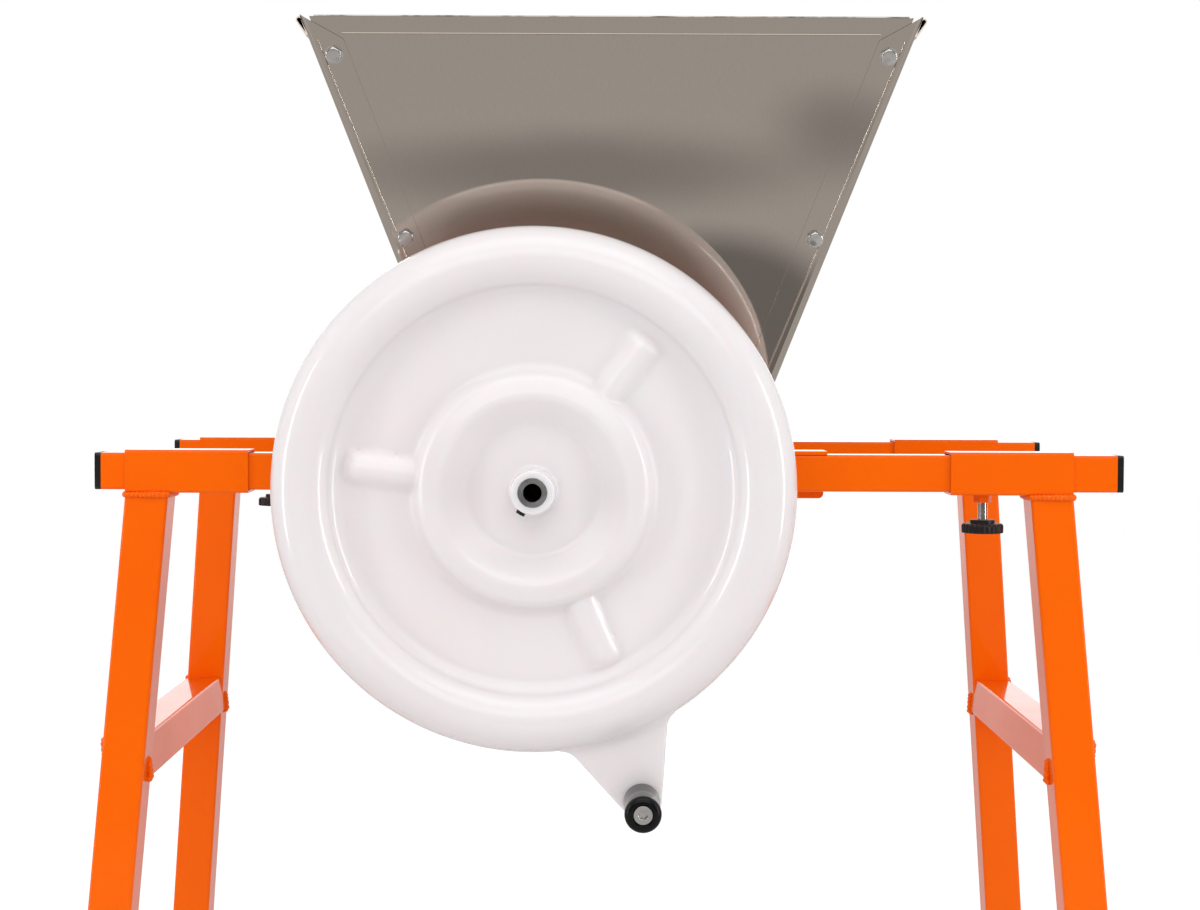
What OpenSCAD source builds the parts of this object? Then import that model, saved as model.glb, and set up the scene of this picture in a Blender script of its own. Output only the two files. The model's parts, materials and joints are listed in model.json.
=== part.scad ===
// Hand-cranked grape crusher: hopper, roller pair, flywheel and two sliding trestles.
// Millimetres, +Z up, the crank side faces -Y.

/* [Stand] */
// Height of the arm tubes' axis above the floor
arm_height = 700; // [560:10:850]
// Outside size of the square arm tubes
arm_size = 30; // [26:1:36]
// Wall of the arm tubes
arm_wall = 2; // [1.5:0.5:3.5]
// Distance from the middle of the chassis to the outer end of an arm tube
arm_reach = 413; // [400:1:470]
// Distance from the middle of the chassis to the inner end of an arm tube
arm_inner = 104; // [102:1:120]
// Thickness of the plate of an arm's end plug
cap_plate = 5; // [3:0.5:8]
// Length of the part of an end plug that sits inside the arm
cap_plug = 14; // [8:1:25]
// Outer corner radius of the square tubes
tube_corner = 2.5; // [2:0.5:4]
// Outside size of the leg and rail tubes
leg_size = 35; // [30:1:40]
// Wall of the leg and rail tubes
leg_wall = 2; // [1.5:0.5:3.5]
// Lean of the legs to the left and right, in degrees
leg_splay_x = 4.5; // [2:0.1:7]
// Lean of the legs to the front and rear, in degrees
leg_splay_y = 4.2; // [2:0.1:7]
// Drop from the underside of the sleeves to the top of a cross rail
rail_drop = 200; // [120:5:300]
// Wall of a foot cap
foot_wall = 2; // [1.5:0.5:4]
// Height of a foot cap
foot_height = 32; // [20:1:60]
// Thickness of a foot cap's sole
foot_sole = 5; // [3:0.5:10]

/* [Sleeves and clamps] */
// Wall of the sleeves that slide on the arms
sleeve_wall = 2; // [1.5:0.5:3]
// Clearance between a sleeve and its arm on each side
sleeve_clearance = 0.5; // [0.3:0.1:0.8]
// Length of a sleeve
sleeve_length = 100; // [80:1:110]
// Distance from the middle to the outer end of the left sleeves
left_sleeve_out = 393; // [340:1:395]
// Distance from the middle to the outer end of the right sleeves
right_sleeve_out = 377; // [340:1:395]
// Distance of a clamp screw from its sleeve's inner end
clamp_inset = 29; // [24:1:32]
// Thread diameter of the clamp screws
clamp_thread = 8; // [6:1:10]
// Width across the flats of a weld nut
clamp_nut_across = 13; // [12:1:17]
// Height of a weld nut
clamp_nut_height = 6.5; // [5:0.5:9]
// Bare thread between a weld nut and its knob
clamp_show = 14; // [8:1:25]
// Diameter of a star knob
knob_d = 34; // [28:1:36]
// Height of a star knob
knob_h = 11; // [9:0.5:16]
// Lobes of a star knob
knob_lobes = 8; // [6:1:12]

/* [Chassis] */
// Thickness of the chassis plates and rails
plate = 3; // [2:0.5:4]
// Length of the front and rear chassis plates
chassis_length = 354; // [320:1:400]
// Clear depth between the front and rear chassis plates
chassis_depth = 298; // [260:1:340]
// Height of the chassis plates at their ends
chassis_height = 40; // [38:1:50]
// Depth of a plate below the roller axis
chassis_keel = 37; // [32:1:50]
// Width of the top flange of a cross rail
rail_flange = 34; // [32:1:45]
// Inner radius of a cross rail's bend
bend_r = 2; // [1:0.5:3]

/* [Rollers and gears] */
// Gear module
gear_module = 4; // [3.8:0.05:4.2]
// Teeth of each gear
gear_teeth = 29; // [27:2:31]
// Face width of the gears
gear_face = 18; // [12:1:24]
// Distance of the roller axes below the arm axis
shaft_drop = 8; // [4:0.5:10]
// Outside diameter of the roller shafts
shaft_d = 22; // [20:0.5:24]
// Bore of the roller shafts
shaft_bore = 14; // [8:0.5:16]
// Gap between the two rollers
roller_gap = 4; // [2:0.5:8]
// Flutes of a roller
roller_flutes = 15; // [9:2:19]
// Radius of a flute
flute_r = 7; // [4:0.5:8]
// Depth of a flute
flute_depth = 5; // [3:0.5:6]
// Wall of a roller under its flutes
roller_wall = 5; // [4:0.5:8]
// Diameter of a roller's hub
roller_hub_d = 36; // [34:1:44]
// Wall of a roller bush
bush_wall = 4; // [3:0.5:6]
// Thickness of a bush's flange
bush_flange = 3; // [2:0.5:5]
// Diameter of the cross pins in the rollers
roller_pin_d = 8; // [5:0.5:8]
// Diameter of the cross pins in the gears
gear_pin_d = 6; // [4:0.5:6]
// Length of a shaft collar
collar_length = 12; // [8:1:20]
// Thickness of the gear guard's sheet
guard_sheet = 1.5; // [1:0.25:2.5]
// Clear space between the gears and their guard
guard_room = 4; // [3:0.5:10]

/* [Flywheel] */
// Outside diameter of the flywheel
wheel_d = 400; // [360:1:420]
// Depth of the flywheel's rim
wheel_rim = 48; // [40:1:60]
// Thickness of the dished web
wheel_web = 10; // [8:0.5:16]
// Slope of the dish wall, in degrees
dish_slope = 60; // [50:1:70]
// Radius of the blend between dish wall and web
dish_blend = 14.5; // [6:0.5:18]
// Outer radius of the raised ring
ring_outer = 91; // [80:1:100]
// Inner radius of the raised ring
ring_inner = 71; // [62:1:78]
// Radius of the flat recess round the hub
recess_r = 50; // [40:1:55]
// Thickness of the flywheel across the raised ring
ring_depth = 38; // [30:1:46]
// Diameter of the moulded hub
hub_d = 32.5; // [30:0.5:40]
// Reach of the hub in front of the rim's middle plane
hub_front = 43; // [36:1:60]
// Reach of the hub behind the rim's middle plane
hub_rear = 34; // [24:1:50]
// Height of the ribs above the web
rib_height = 7; // [4:0.5:10]
// Radius of the ribs' round back
rib_r = 14.5; // [10:0.5:16]
// Distance from the wheel's axis to the ribs' outer ends
rib_end = 146; // [120:1:148]
// Turn of the first rib, in degrees
rib_turn = 53; // [0:1:119]
// Distance from the arms' front faces to the rim's middle plane
wheel_standoff = 114; // [100:1:140]
// Radius of the handle's circle
crank_r = 250; // [240:1:270]
// Turn of the crank, in degrees from the right
crank_turn = -70.7; // [-180:0.1:180]
// Radius of the lug's tip
lug_tip = 15.5; // [13:0.5:20]
// Slope of the lug's edges, in degrees
lug_slope = 23; // [15:1:30]
// Radius of the blend between lug and rim
lug_blend = 15; // [5:1:25]
// Thickness of the lug
lug_plate = 14; // [10:1:20]
// Diameter of the flywheel's set screw
set_screw_d = 7; // [5:0.5:8]
// Turn of the set screw, in degrees from the right
set_screw_turn = 240; // [0:1:359]

/* [Handle] */
// Diameter of the grip
grip_d = 28; // [24:1:36]
// Length of the grip
grip_length = 56; // [40:1:100]
// Thread diameter of the handle bolt
handle_thread = 8; // [6:0.5:10]
// Diameter of the handle bolt's head
handle_head_d = 14; // [12:0.5:16]
// Height of the handle bolt's head
handle_head_h = 6; // [4:0.5:8]

/* [Hopper] */
// Height of the hopper
hopper_height = 341; // [260:1:400]
// Width of the hopper's throat
throat_w = 227; // [224:1:234]
// Width of the hopper's mouth
mouth_w = 485; // [420:1:540]
// Depth of the hopper's mouth
mouth_d = 481; // [420:1:500]
// Thickness of the hopper's sheet
sheet = 1; // [0.8:0.1:1.5]
// Width of the side flanges lapped over the front and rear
lap = 25; // [22:1:32]
// Inner radius of the corner bends
corner_bend = 5; // [2:0.5:6]
// Width of the flat hem on the front and rear panels
hem = 14; // [10:1:20]
// Thickness of the teardrop hem on the side panels
tear_depth = 5.6; // [3.2:0.1:7]
// Height of the teardrop hem
tear_height = 16; // [12:1:20]
// Width of the base flanges
base_flange = 30; // [28:1:30]
// Thread diameter of the corner bolts
corner_thread = 8; // [5:1:8]
// Distance from the hopper's top edge to the highest corner bolts
corner_top = 30.7; // [28:0.1:40]
// Distance from the hopper's base to the lowest corner bolts
corner_low = 32.4; // [28:0.1:40]
// Corner bolts along each corner
corner_count = 3; // [2:1:3]
// Thread diameter of the base bolts and guard screws
base_thread = 6; // [5:1:6]

/* [Hidden] */
$fn = 96;
arc_steps = 5;
rim_steps = 14;
// Play round pins, shafts and threads, and the gap that keeps moving faces apart
fit = 0.05;
bolt_play = 0.3;
air = 0.3;
overlap = 1;
// How far the faces of a bent strip lie inside the sheet that it runs into
skin = 0.03;
far = 2000;
// How far a full round stays short of the next corner
hair = 0.02;
// Sizes of a metric hex fastener for a thread diameter
function hex_across(thread) = thread * 1.6;
function head_height(thread) = thread * 0.66;
function nut_height(thread) = thread * 0.8;

// Heights and places of the stand
sleeve_size = arm_size + 2 * (sleeve_clearance + sleeve_wall);
sleeve_bottom = arm_height - sleeve_size / 2;
arm_y = chassis_depth / 2 + plate + arm_size / 2;
arm_face = arm_y + arm_size / 2;
rail_z = sleeve_bottom - rail_drop - leg_size / 2;
rail_fall = sleeve_bottom - rail_z;
knob_top = sleeve_bottom - clamp_nut_height - clamp_show;
knob_neck = 2.5;
knob_embed = knob_h - knob_neck;

// Chassis
chassis_top = arm_height + arm_size / 2 + plate;
shaft_z = arm_height - shaft_drop;
shaft_spacing = gear_module * gear_teeth;
shaft_x = shaft_spacing / 2;
roller_d = shaft_spacing - roller_gap;
rail_room = 4;
rail_x = shaft_x + roller_d / 2 + rail_room;
keel_slope = 22;

// Rollers
bush_d = shaft_d + 2 * bush_wall;
bush_flange_d = bush_d + 10;
bush_proud = 3;
bush_end = chassis_depth / 2 + plate + bush_proud;
roller_length = chassis_depth - 2 * bush_flange - 2;
roller_ring_r = roller_d / 2 - flute_depth - roller_wall;
roller_spokes = 3;
roller_spoke = 6;
roller_pin_y = -roller_length / 2 + 18;
boss_d = shaft_d + 12;
gear_y = arm_face + 2;
gear_pin_y = bush_end + air + (gear_y - bush_end) / 2;
pressure_angle = 20;
gear_backlash = 0.35;
shaft_rear = gear_y + gear_face + 2;
guard_r = shaft_spacing / 2 + gear_module + guard_room;
guard_depth = shaft_rear - arm_face + 2;
guard_ear = 26;
guard_screw_x = shaft_x + guard_r + guard_sheet + guard_ear / 2;

// Flywheel
wheel_r = wheel_d / 2;
rim_half = wheel_rim / 2;
web_half = wheel_web / 2;
ring_half = ring_depth / 2;
wheel_y = -(arm_face + wheel_standoff);
shaft_front = wheel_y - hub_front;
crest_r = wheel_r - rim_half - rim_half * tan(dish_slope / 2);
dish_r = crest_r - (rim_half - web_half) / tan(dish_slope);
ring_draft = 2;
ring_round = 5;
recess_round = 6;
hub_draft = 1;
hub_fillet = 3;
hub_round = 1.5;
rib_count = 3;
rib_seat = 6;
set_screw_back = 8;
set_screw_proud = 2.7;
grip_back = wheel_y - lug_plate / 2 - air;
grip_front = grip_back - grip_length;
head_recess = handle_head_h + 1;
handle_nut_h = nut_height(handle_thread);

// Hopper planes: lean of the front and the side, and lean of the corner within each panel
lean_front = atan((mouth_d - chassis_depth) / 2 / hopper_height);
lean_side = atan((mouth_w - throat_w) / 2 / hopper_height);
slope_front = hopper_height / cos(lean_front);
slope_side = hopper_height / cos(lean_side);
edge_front = atan(tan(lean_side) * cos(lean_front));
edge_side = atan(tan(lean_front) * cos(lean_side));
corner_angle = acos(-sin(lean_front) * sin(lean_side));
hopper_top = chassis_top + hopper_height;
corner_room = 8;
// Leg of a corner strip on the side sheet, and its share that lies in the sheet
corner_weld = 5;
corner_leg = corner_bend + 2 * sheet + corner_weld + 3;
panel_inset = (corner_bend + sheet + air) / cos(edge_front);
corner_bolt_in = lap / 2 + sheet;
corner_pitch = (slope_front - corner_top - corner_low) / (corner_count - 1);
// Mitre at the ends of the front and rear hems, and the gap down to the laps' mitred tops
mitre_gap = 3.7;
mitre_round = 3;
mitre_top = corner_x(slope_front) - panel_inset;
mitre_low = lap_x(slope_front - hem) - air;
mitre_run = (mitre_top - mitre_low) / hem;
base_bolt_y = chassis_depth / 2 + base_flange * 0.55;
base_bolt_x = arm_inner - 15;
side_bolt_x = throat_w / 2 + base_flange * 0.6;
side_bolt_y = chassis_depth * 0.3;

// The origin is under the middle of the whole crusher's box
function sleeve_out(side) = side < 0 ? left_sleeve_out : right_sleeve_out;
function leg_top_x(side) = side * (sleeve_out(side) - leg_size / 2 / cos(leg_splay_x));
function leg_x(side, drop) = leg_top_x(side) + side * drop * tan(leg_splay_x);
function leg_y(drop) = arm_y + drop * tan(leg_splay_y) / cos(leg_splay_x);
foot_half = leg_size / 2 + foot_wall;
foot_reach_x = foot_half / cos(leg_splay_x) + foot_half * tan(leg_splay_x) * tan(leg_splay_y);
foot_reach_y = foot_half / cos(leg_splay_y);
foot_out_y = leg_y(sleeve_bottom) + foot_reach_y;
mouth_out_y = mouth_d / 2 + 2 * sheet / cos(lean_front);
origin_x = (leg_x(-1, sleeve_bottom) + leg_x(1, sleeve_bottom)) / 2;
origin_y = (grip_front + max(foot_out_y, mouth_out_y)) / 2;

// Outline helpers

function unit(v) = v / norm(v);

// Points of the round that replaces corner c between its neighbours p and n
function round_corner(p, c, n, r, steps) =
    let (
        a = unit(p - c),
        b = unit(n - c),
        half = acos(a * b) / 2,
        middle = c + unit(a + b) * r / sin(half),
        from = c + a * r / tan(half) - middle,
        to = c + b * r / tan(half) - middle,
        start = atan2(from.y, from.x),
        turn = atan2(to.y, to.x) - start,
        sweep = turn > 180 ? turn - 360 : turn < -180 ? turn + 360 : turn
    )
    [for (i = [0:steps]) middle + r * [cos(start + sweep * i / steps), sin(start + sweep * i / steps)]];

// Closed outline from [x, y, radius] corners; a radius of 0 stays sharp
function rounded(corners, steps = arc_steps) =
    let (count = len(corners))
    [for (i = [0:count - 1])
        let (
            p = corners[(i + count - 1) % count],
            c = corners[i],
            n = corners[(i + 1) % count],
            points = c.z > 0
                ? round_corner([p.x, p.y], [c.x, c.y], [n.x, n.y], c.z, steps)
                : [[c.x, c.y]]
        )
        each points];

function square_corners(size, r) =
    let (h = size / 2)
    [[-h, -h, r], [h, -h, r], [h, h, r], [-h, h, r]];

module tube_profile(size, wall) {
    difference() {
        polygon(rounded(square_corners(size, tube_corner)));
        polygon(rounded(square_corners(size - 2 * wall, max(tube_corner - wall, 0.5))));
    }
}

// Places of shapes: the crusher's own frame, upright plates, bars along X and round parts along Y

module placed() {
    translate([-origin_x, -origin_y, 0]) children();
}

module upright(y, thickness) {
    translate([0, y + thickness, 0]) rotate([90, 0, 0]) linear_extrude(thickness) children();
}

module bar_along_x(from, to) {
    translate([from, 0, 0]) rotate([90, 0, 90]) linear_extrude(to - from) children();
}

module on_shaft(x, y) {
    translate([x, y, shaft_z]) rotate([90, 0, 0]) children();
}

module hex(thread, height) {
    cylinder(d = hex_across(thread) / cos(30), h = height, $fn = 6);
}

module hex_nut(across, thread, height) {
    difference() {
        cylinder(d = across / cos(30), h = height, $fn = 6);
        translate([0, 0, -overlap]) cylinder(d = thread + 2 * fit, h = height + 2 * overlap);
    }
}

// Chassis

module base_bolt_places() {
    for (end = [-1, 1])
        for (x = [-base_bolt_x, 0, base_bolt_x])
            translate([x, end * base_bolt_y, chassis_top]) children();
    for (side = [-1, 1])
        for (end = [-1, 1])
            translate([side * side_bolt_x, end * side_bolt_y, chassis_top]) children();
}

module base_bolt_holes() {
    base_bolt_places() cylinder(d = base_thread + 2 * bolt_play, h = 4 * plate, center = true);
}

module chassis_web() {
    half = chassis_length / 2;
    keel = shaft_z - chassis_keel;
    low = chassis_top - chassis_height;
    keel_x = rail_x + plate;
    difference() {
        polygon(rounded([
            [-half, chassis_top, 0], [-half, low, 4], [-keel_x - keel_slope, low, 8], [-keel_x, keel, 8],
            [keel_x, keel, 8], [keel_x + keel_slope, low, 8], [half, low, 4], [half, chassis_top, 0]
        ]));
        for (x = [-shaft_x, shaft_x]) translate([x, shaft_z]) circle(d = bush_d + 2 * fit);
    }
}

module chassis_plate(end) {
    color("darkorange") placed() difference() {
        union() {
            upright(end < 0 ? -chassis_depth / 2 - plate : chassis_depth / 2, plate) chassis_web();
            translate([-chassis_length / 2, end < 0 ? -arm_face : chassis_depth / 2, chassis_top - plate])
                cube([chassis_length, arm_size + plate, plate]);
        }
        base_bolt_holes();
    }
}

module chassis_front_plate() chassis_plate(-1);

module chassis_rear_plate() chassis_plate(1);

module chassis_rail(side) {
    low = chassis_top - chassis_height;
    color("darkorange") placed() difference() {
        mirror([side < 0 ? 1 : 0, 0, 0]) upright(-chassis_depth / 2, chassis_depth)
            polygon(rounded([
                [rail_x, low, 0], [rail_x + plate, low, 0], [rail_x + plate, chassis_top - plate, bend_r],
                [rail_x + rail_flange, chassis_top - plate, 0], [rail_x + rail_flange, chassis_top, 0],
                [rail_x, chassis_top, bend_r + plate / 2]
            ]));
        base_bolt_holes();
    }
}

module chassis_left_rail() chassis_rail(-1);

module chassis_right_rail() chassis_rail(1);

// Arms

module arm(side, end) {
    color("darkorange") placed() difference() {
        mirror([side < 0 ? 1 : 0, 0, 0]) translate([0, end * arm_y, arm_height])
            bar_along_x(arm_inner, arm_reach) tube_profile(arm_size, arm_wall);
        if (end > 0) guard_screw_places() rotate([90, 0, 0])
            cylinder(d = base_thread + 2 * fit, h = 4 * arm_wall, center = true);
    }
}

module front_left_arm() arm(-1, -1);

module front_right_arm() arm(1, -1);

module rear_left_arm() arm(-1, 1);

module rear_right_arm() arm(1, 1);

module arm_end_caps() {
    plug = arm_size - 2 * arm_wall - 2 * fit;
    color("dimgray") placed()
        for (side = [-1, 1])
            for (end = [-1, 1])
                mirror([side < 0 ? 1 : 0, 0, 0]) translate([0, end * arm_y, arm_height]) {
                    bar_along_x(arm_reach, arm_reach + cap_plate)
                        polygon(rounded(square_corners(arm_size, tube_corner)));
                    bar_along_x(arm_reach - cap_plug, arm_reach + overlap) difference() {
                        polygon(rounded(square_corners(plug, 0.5)));
                        square(plug - 4 * arm_wall, center = true);
                    }
                }
}

// Hopper

module front_frame() {
    translate([0, -chassis_depth / 2, chassis_top]) rotate([90 + lean_front, 0, 0]) children();
}

module side_frame() {
    rotate([0, 0, 90]) translate([0, -throat_w / 2, chassis_top]) rotate([90 + lean_side, 0, 0]) children();
}

// Corner of the front panel, inner edge of the side panels' laps and mitre of the hem, at distance s up it
function corner_x(s) = throat_w / 2 + s * tan(edge_front);
function lap_x(s) = corner_x(s) - lap / cos(edge_front);
function mitre_x(s) = mitre_top - (slope_front - s) * mitre_run;

module corner_bolt_places() {
    for (rear = [0, 1])
        mirror([0, rear, 0])
            front_frame()
                for (i = [0:corner_count - 1])
                    for (side = [-1, 1])
                        let (s = slope_front - corner_top - i * corner_pitch)
                            translate([side * (corner_x(s) - corner_bolt_in / cos(edge_front)), s, 0])
                                children();
}

module corner_bolt_holes() {
    corner_bolt_places() cylinder(d = corner_thread + 2 * bolt_play, h = 12 * sheet, center = true);
}

// Front or rear panel: flat sheet, turned-out base flange and flat hem
module hopper_end_panel(end) {
    start = sheet * tan(lean_front);
    top = slope_front - sheet;
    low_w = corner_x(start) - panel_inset;
    top_w = corner_x(top) - panel_inset;
    hem_low = slope_front - hem;
    hem_low_w = mitre_x(hem_low) - air;
    hem_top_w = mitre_x(top) - air;
    bead_w = mitre_x(top - sheet) - air;
    flange_w = throat_w / 2 - corner_room;
    color("silver") placed() difference() {
        mirror([0, end > 0 ? 1 : 0, 0]) {
            front_frame() {
                linear_extrude(sheet)
                    polygon([[-low_w, start], [low_w, start], [top_w, top], [-top_w, top]]);
                translate([0, 0, sheet]) linear_extrude(sheet)
                    polygon([[-hem_low_w, hem_low], [hem_low_w, hem_low], [hem_top_w, top],
                        [-hem_top_w, top]]);
                translate([-bead_w, top, sheet]) rotate([0, 90, 0]) cylinder(r = sheet, h = 2 * bead_w);
            }
            translate([-flange_w, -chassis_depth / 2 - base_flange, chassis_top])
                cube([2 * flange_w, base_flange, sheet]);
        }
        corner_bolt_holes();
        base_bolt_holes();
    }
}

module hopper_front_panel() hopper_end_panel(-1);

module hopper_rear_panel() hopper_end_panel(1);

// Bent strip along the front right corner: the lap on the front panel, the bend, and a leg on the side
module corner_strip() {
    side_way = [-cos(corner_angle), -sin(corner_angle)];
    side_out = [sin(corner_angle), -cos(corner_angle)];
    inner_x = (skin - side_out.y * sheet) / side_out.x;
    outer_x = (sheet - skin - side_out.y * 2 * sheet) / side_out.x;
    inner_end = side_way * corner_leg + side_out * skin;
    outer_end = side_way * corner_leg + side_out * (sheet - skin);
    length = slope_front / cos(edge_front) + corner_leg;
    wide = lap + overlap;
    over = slope_front + corner_leg;
    lap_top = (lap_x(0) - mitre_x(mitre_gap)) / (mitre_run - tan(edge_front));
    intersection() {
        front_frame() intersection() {
            translate([throat_w / 2, 0, 0]) rotate([0, 0, -edge_front]) translate([0, length, 0])
                rotate([90, 0, 0]) linear_extrude(length)
                    polygon(rounded([
                        [-wide, sheet, 0], [inner_x, sheet, corner_bend], [inner_end.x, inner_end.y, 0],
                        [outer_end.x, outer_end.y, 0], [outer_x, 2 * sheet, corner_bend + sheet],
                        [-wide, 2 * sheet, 0]
                    ]));
            translate([0, 0, -far / 2]) linear_extrude(far)
                polygon(rounded([
                    [lap_x(corner_room), corner_room, 0], [far, corner_room, 0], [far, over, 0],
                    [mitre_x(over + mitre_gap), over, 0], [lap_x(lap_top), lap_top, mitre_round]
                ]));
        }
        translate([-far / 2, -far / 2, 0]) cube([far, far, hopper_top]);
    }
}

// Largest round that fits twice across a nose of the given width, whose one side slopes by so many degrees
function nose_r(width, slope) = 0.95 * width / (1 + tan(45 + slope / 2));

// Ring of sheet rolled outwards along the top edge of a side panel
module teardrop_profile() {
    hollow = tear_depth - 2 * sheet;
    hollow_height = tear_height - 3 * sheet;
    outer_r = nose_r(tear_depth, atan(hollow / tear_height));
    inner_r = nose_r(hollow, atan(hollow / hollow_height));
    difference() {
        polygon(rounded([
            [-tear_height, 0, 0], [0, 0, outer_r], [0, tear_depth, outer_r], [-tear_height, 2 * sheet, 0]
        ]));
        polygon(rounded([
            [-sheet - hollow_height, sheet + fit, 0], [-sheet, sheet, inner_r],
            [-sheet, tear_depth - sheet, inner_r]
        ]));
    }
}

// Right panel; the left one is its mirror image
module hopper_side_panel(side) {
    start = sheet * tan(lean_side);
    short = (corner_leg - corner_weld) / cos(edge_side);
    top = slope_side - tear_height / 2;
    low_w = chassis_depth / 2 + start * tan(edge_side) - short;
    top_w = chassis_depth / 2 + top * tan(edge_side) - short;
    tear_w = chassis_depth / 2 + (slope_side - tear_height) * tan(edge_side);
    flange_w = chassis_depth / 2 - corner_room;
    color("silver") placed() difference() {
        mirror([side < 0 ? 1 : 0, 0, 0]) {
            side_frame() {
                linear_extrude(sheet)
                    polygon([[-low_w, start], [low_w, start], [top_w, top], [-top_w, top]]);
                translate([0, slope_side, 0]) bar_along_x(-tear_w, tear_w) teardrop_profile();
            }
            for (rear = [0, 1]) mirror([0, rear, 0]) corner_strip();
            translate([throat_w / 2, -flange_w, chassis_top]) cube([base_flange, 2 * flange_w, sheet]);
        }
        corner_bolt_holes();
        base_bolt_holes();
    }
}

module hopper_left_panel() hopper_side_panel(-1);

module hopper_right_panel() hopper_side_panel(1);

module hopper_corner_bolts() {
    grip = 2 * sheet + nut_height(corner_thread) + 2 * sheet;
    color("gainsboro") placed() corner_bolt_places() translate([0, 0, 2 * sheet]) {
        hex(corner_thread, head_height(corner_thread));
        translate([0, 0, -grip]) cylinder(d = corner_thread, h = grip + overlap);
    }
}

module hopper_corner_nuts() {
    height = nut_height(corner_thread);
    color("gainsboro") placed() corner_bolt_places() translate([0, 0, -height])
        hex_nut(hex_across(corner_thread), corner_thread, height);
}

module hopper_base_bolts() {
    grip = sheet + plate + nut_height(base_thread) + sheet;
    color("gainsboro") placed() base_bolt_places() translate([0, 0, sheet]) {
        hex(base_thread, head_height(base_thread));
        translate([0, 0, -grip]) cylinder(d = base_thread, h = grip + overlap);
    }
}

module hopper_base_nuts() {
    height = nut_height(base_thread);
    color("gainsboro") placed() base_bolt_places() translate([0, 0, -plate - height])
        hex_nut(hex_across(base_thread), base_thread, height);
}

// Rollers, shafts and gears

module roller_bushes(end) {
    color("ivory") placed()
        for (x = [-shaft_x, shaft_x])
            mirror([0, end > 0 ? 1 : 0, 0]) on_shaft(x, -chassis_depth / 2) difference() {
                union() {
                    translate([0, 0, -bush_flange]) cylinder(d = bush_flange_d, h = bush_flange);
                    translate([0, 0, -overlap]) cylinder(d = bush_d, h = plate + bush_proud + overlap);
                }
                cylinder(d = shaft_d + 2 * fit, h = 4 * (plate + bush_proud), center = true);
            }
}

module front_roller_bushes() roller_bushes(-1);

module rear_roller_bushes() roller_bushes(1);

module shaft(x, front) {
    color("lightgray") placed() difference() {
        on_shaft(x, shaft_rear) difference() {
            cylinder(d = shaft_d, h = shaft_rear - front);
            translate([0, 0, -overlap]) cylinder(d = shaft_bore, h = shaft_rear - front + 2 * overlap);
        }
        translate([x, roller_pin_y, shaft_z])
            cylinder(d = roller_pin_d + 2 * fit, h = 2 * shaft_d, center = true);
        translate([x, gear_pin_y, shaft_z])
            cylinder(d = gear_pin_d + 2 * fit, h = 2 * shaft_d, center = true);
    }
}

module drive_shaft() shaft(-shaft_x, shaft_front);

module driven_shaft() shaft(shaft_x, -(bush_end + air + collar_length + bush_proud));

module collar(x) {
    color("gray") placed() on_shaft(x, -(bush_end + air)) difference() {
        cylinder(d = boss_d, h = collar_length);
        translate([0, 0, -overlap]) cylinder(d = shaft_d + 2 * fit, h = collar_length + 2 * overlap);
    }
}

module drive_collar() collar(-shaft_x);

module driven_collar() collar(shaft_x);

// Extruded roller: fluted ring, spokes and a hub bored for the shaft
module roller_profile() {
    difference() {
        circle(d = roller_d);
        circle(r = roller_ring_r);
        for (i = [0:roller_flutes - 1])
            rotate(i * 360 / roller_flutes) translate([roller_d / 2 + flute_r - flute_depth, 0])
                circle(r = flute_r);
    }
    difference() {
        union() {
            circle(d = roller_hub_d);
            for (i = [0:roller_spokes - 1])
                rotate(i * 360 / roller_spokes + 30) translate([0, -roller_spoke / 2])
                    square([roller_ring_r + overlap, roller_spoke]);
        }
        circle(d = shaft_d + 2 * fit);
    }
}

module roller(x) {
    color("silver") placed() difference() {
        on_shaft(x, 0) linear_extrude(roller_length, center = true) roller_profile();
        translate([x, roller_pin_y, shaft_z - roller_hub_d])
            cylinder(d = roller_pin_d + 2 * fit, h = roller_d + roller_hub_d);
    }
}

module drive_roller() roller(-shaft_x);

module driven_roller() roller(shaft_x);

module cross_pin(x, y, d, length) {
    color("gray") placed() translate([x, y, shaft_z]) cylinder(d = d, h = length, center = true);
}

module drive_roller_pin() cross_pin(-shaft_x, roller_pin_y, roller_pin_d, roller_hub_d - 2 * air);

module driven_roller_pin() cross_pin(shaft_x, roller_pin_y, roller_pin_d, roller_hub_d - 2 * air);

module drive_gear_pin() cross_pin(-shaft_x, gear_pin_y, gear_pin_d, boss_d - 2 * air);

module driven_gear_pin() cross_pin(shaft_x, gear_pin_y, gear_pin_d, boss_d - 2 * air);

// Involute tooth: half its angle at radius r
function involute(angle) = tan(angle) * 180 / PI - angle;

function tooth_half(r) =
    let (pitch_r = gear_module * gear_teeth / 2, base_r = pitch_r * cos(pressure_angle))
    90 / gear_teeth - gear_backlash / 2 / pitch_r * 180 / PI
        + involute(pressure_angle) - involute(acos(min(1, base_r / r)));

module gear_profile() {
    pitch_r = gear_module * gear_teeth / 2;
    root_r = pitch_r - 1.25 * gear_module;
    base_r = pitch_r * cos(pressure_angle);
    tip_r = pitch_r + gear_module;
    flank = [for (i = [0:3]) base_r + (tip_r - base_r) * i / 3];
    polygon([for (t = [0:gear_teeth - 1])
        let (
            middle = t * 360 / gear_teeth,
            rising = [for (r = flank) [r, middle - tooth_half(r)]],
            falling = [for (i = [3:-1:0]) [flank[i], middle + tooth_half(flank[i])]],
            polar = concat([[root_r, rising[0][1]]], rising, falling, [[root_r, falling[3][1]]])
        )
        for (p = polar) p[0] * [cos(p[1]), sin(p[1])]]);
}

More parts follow.
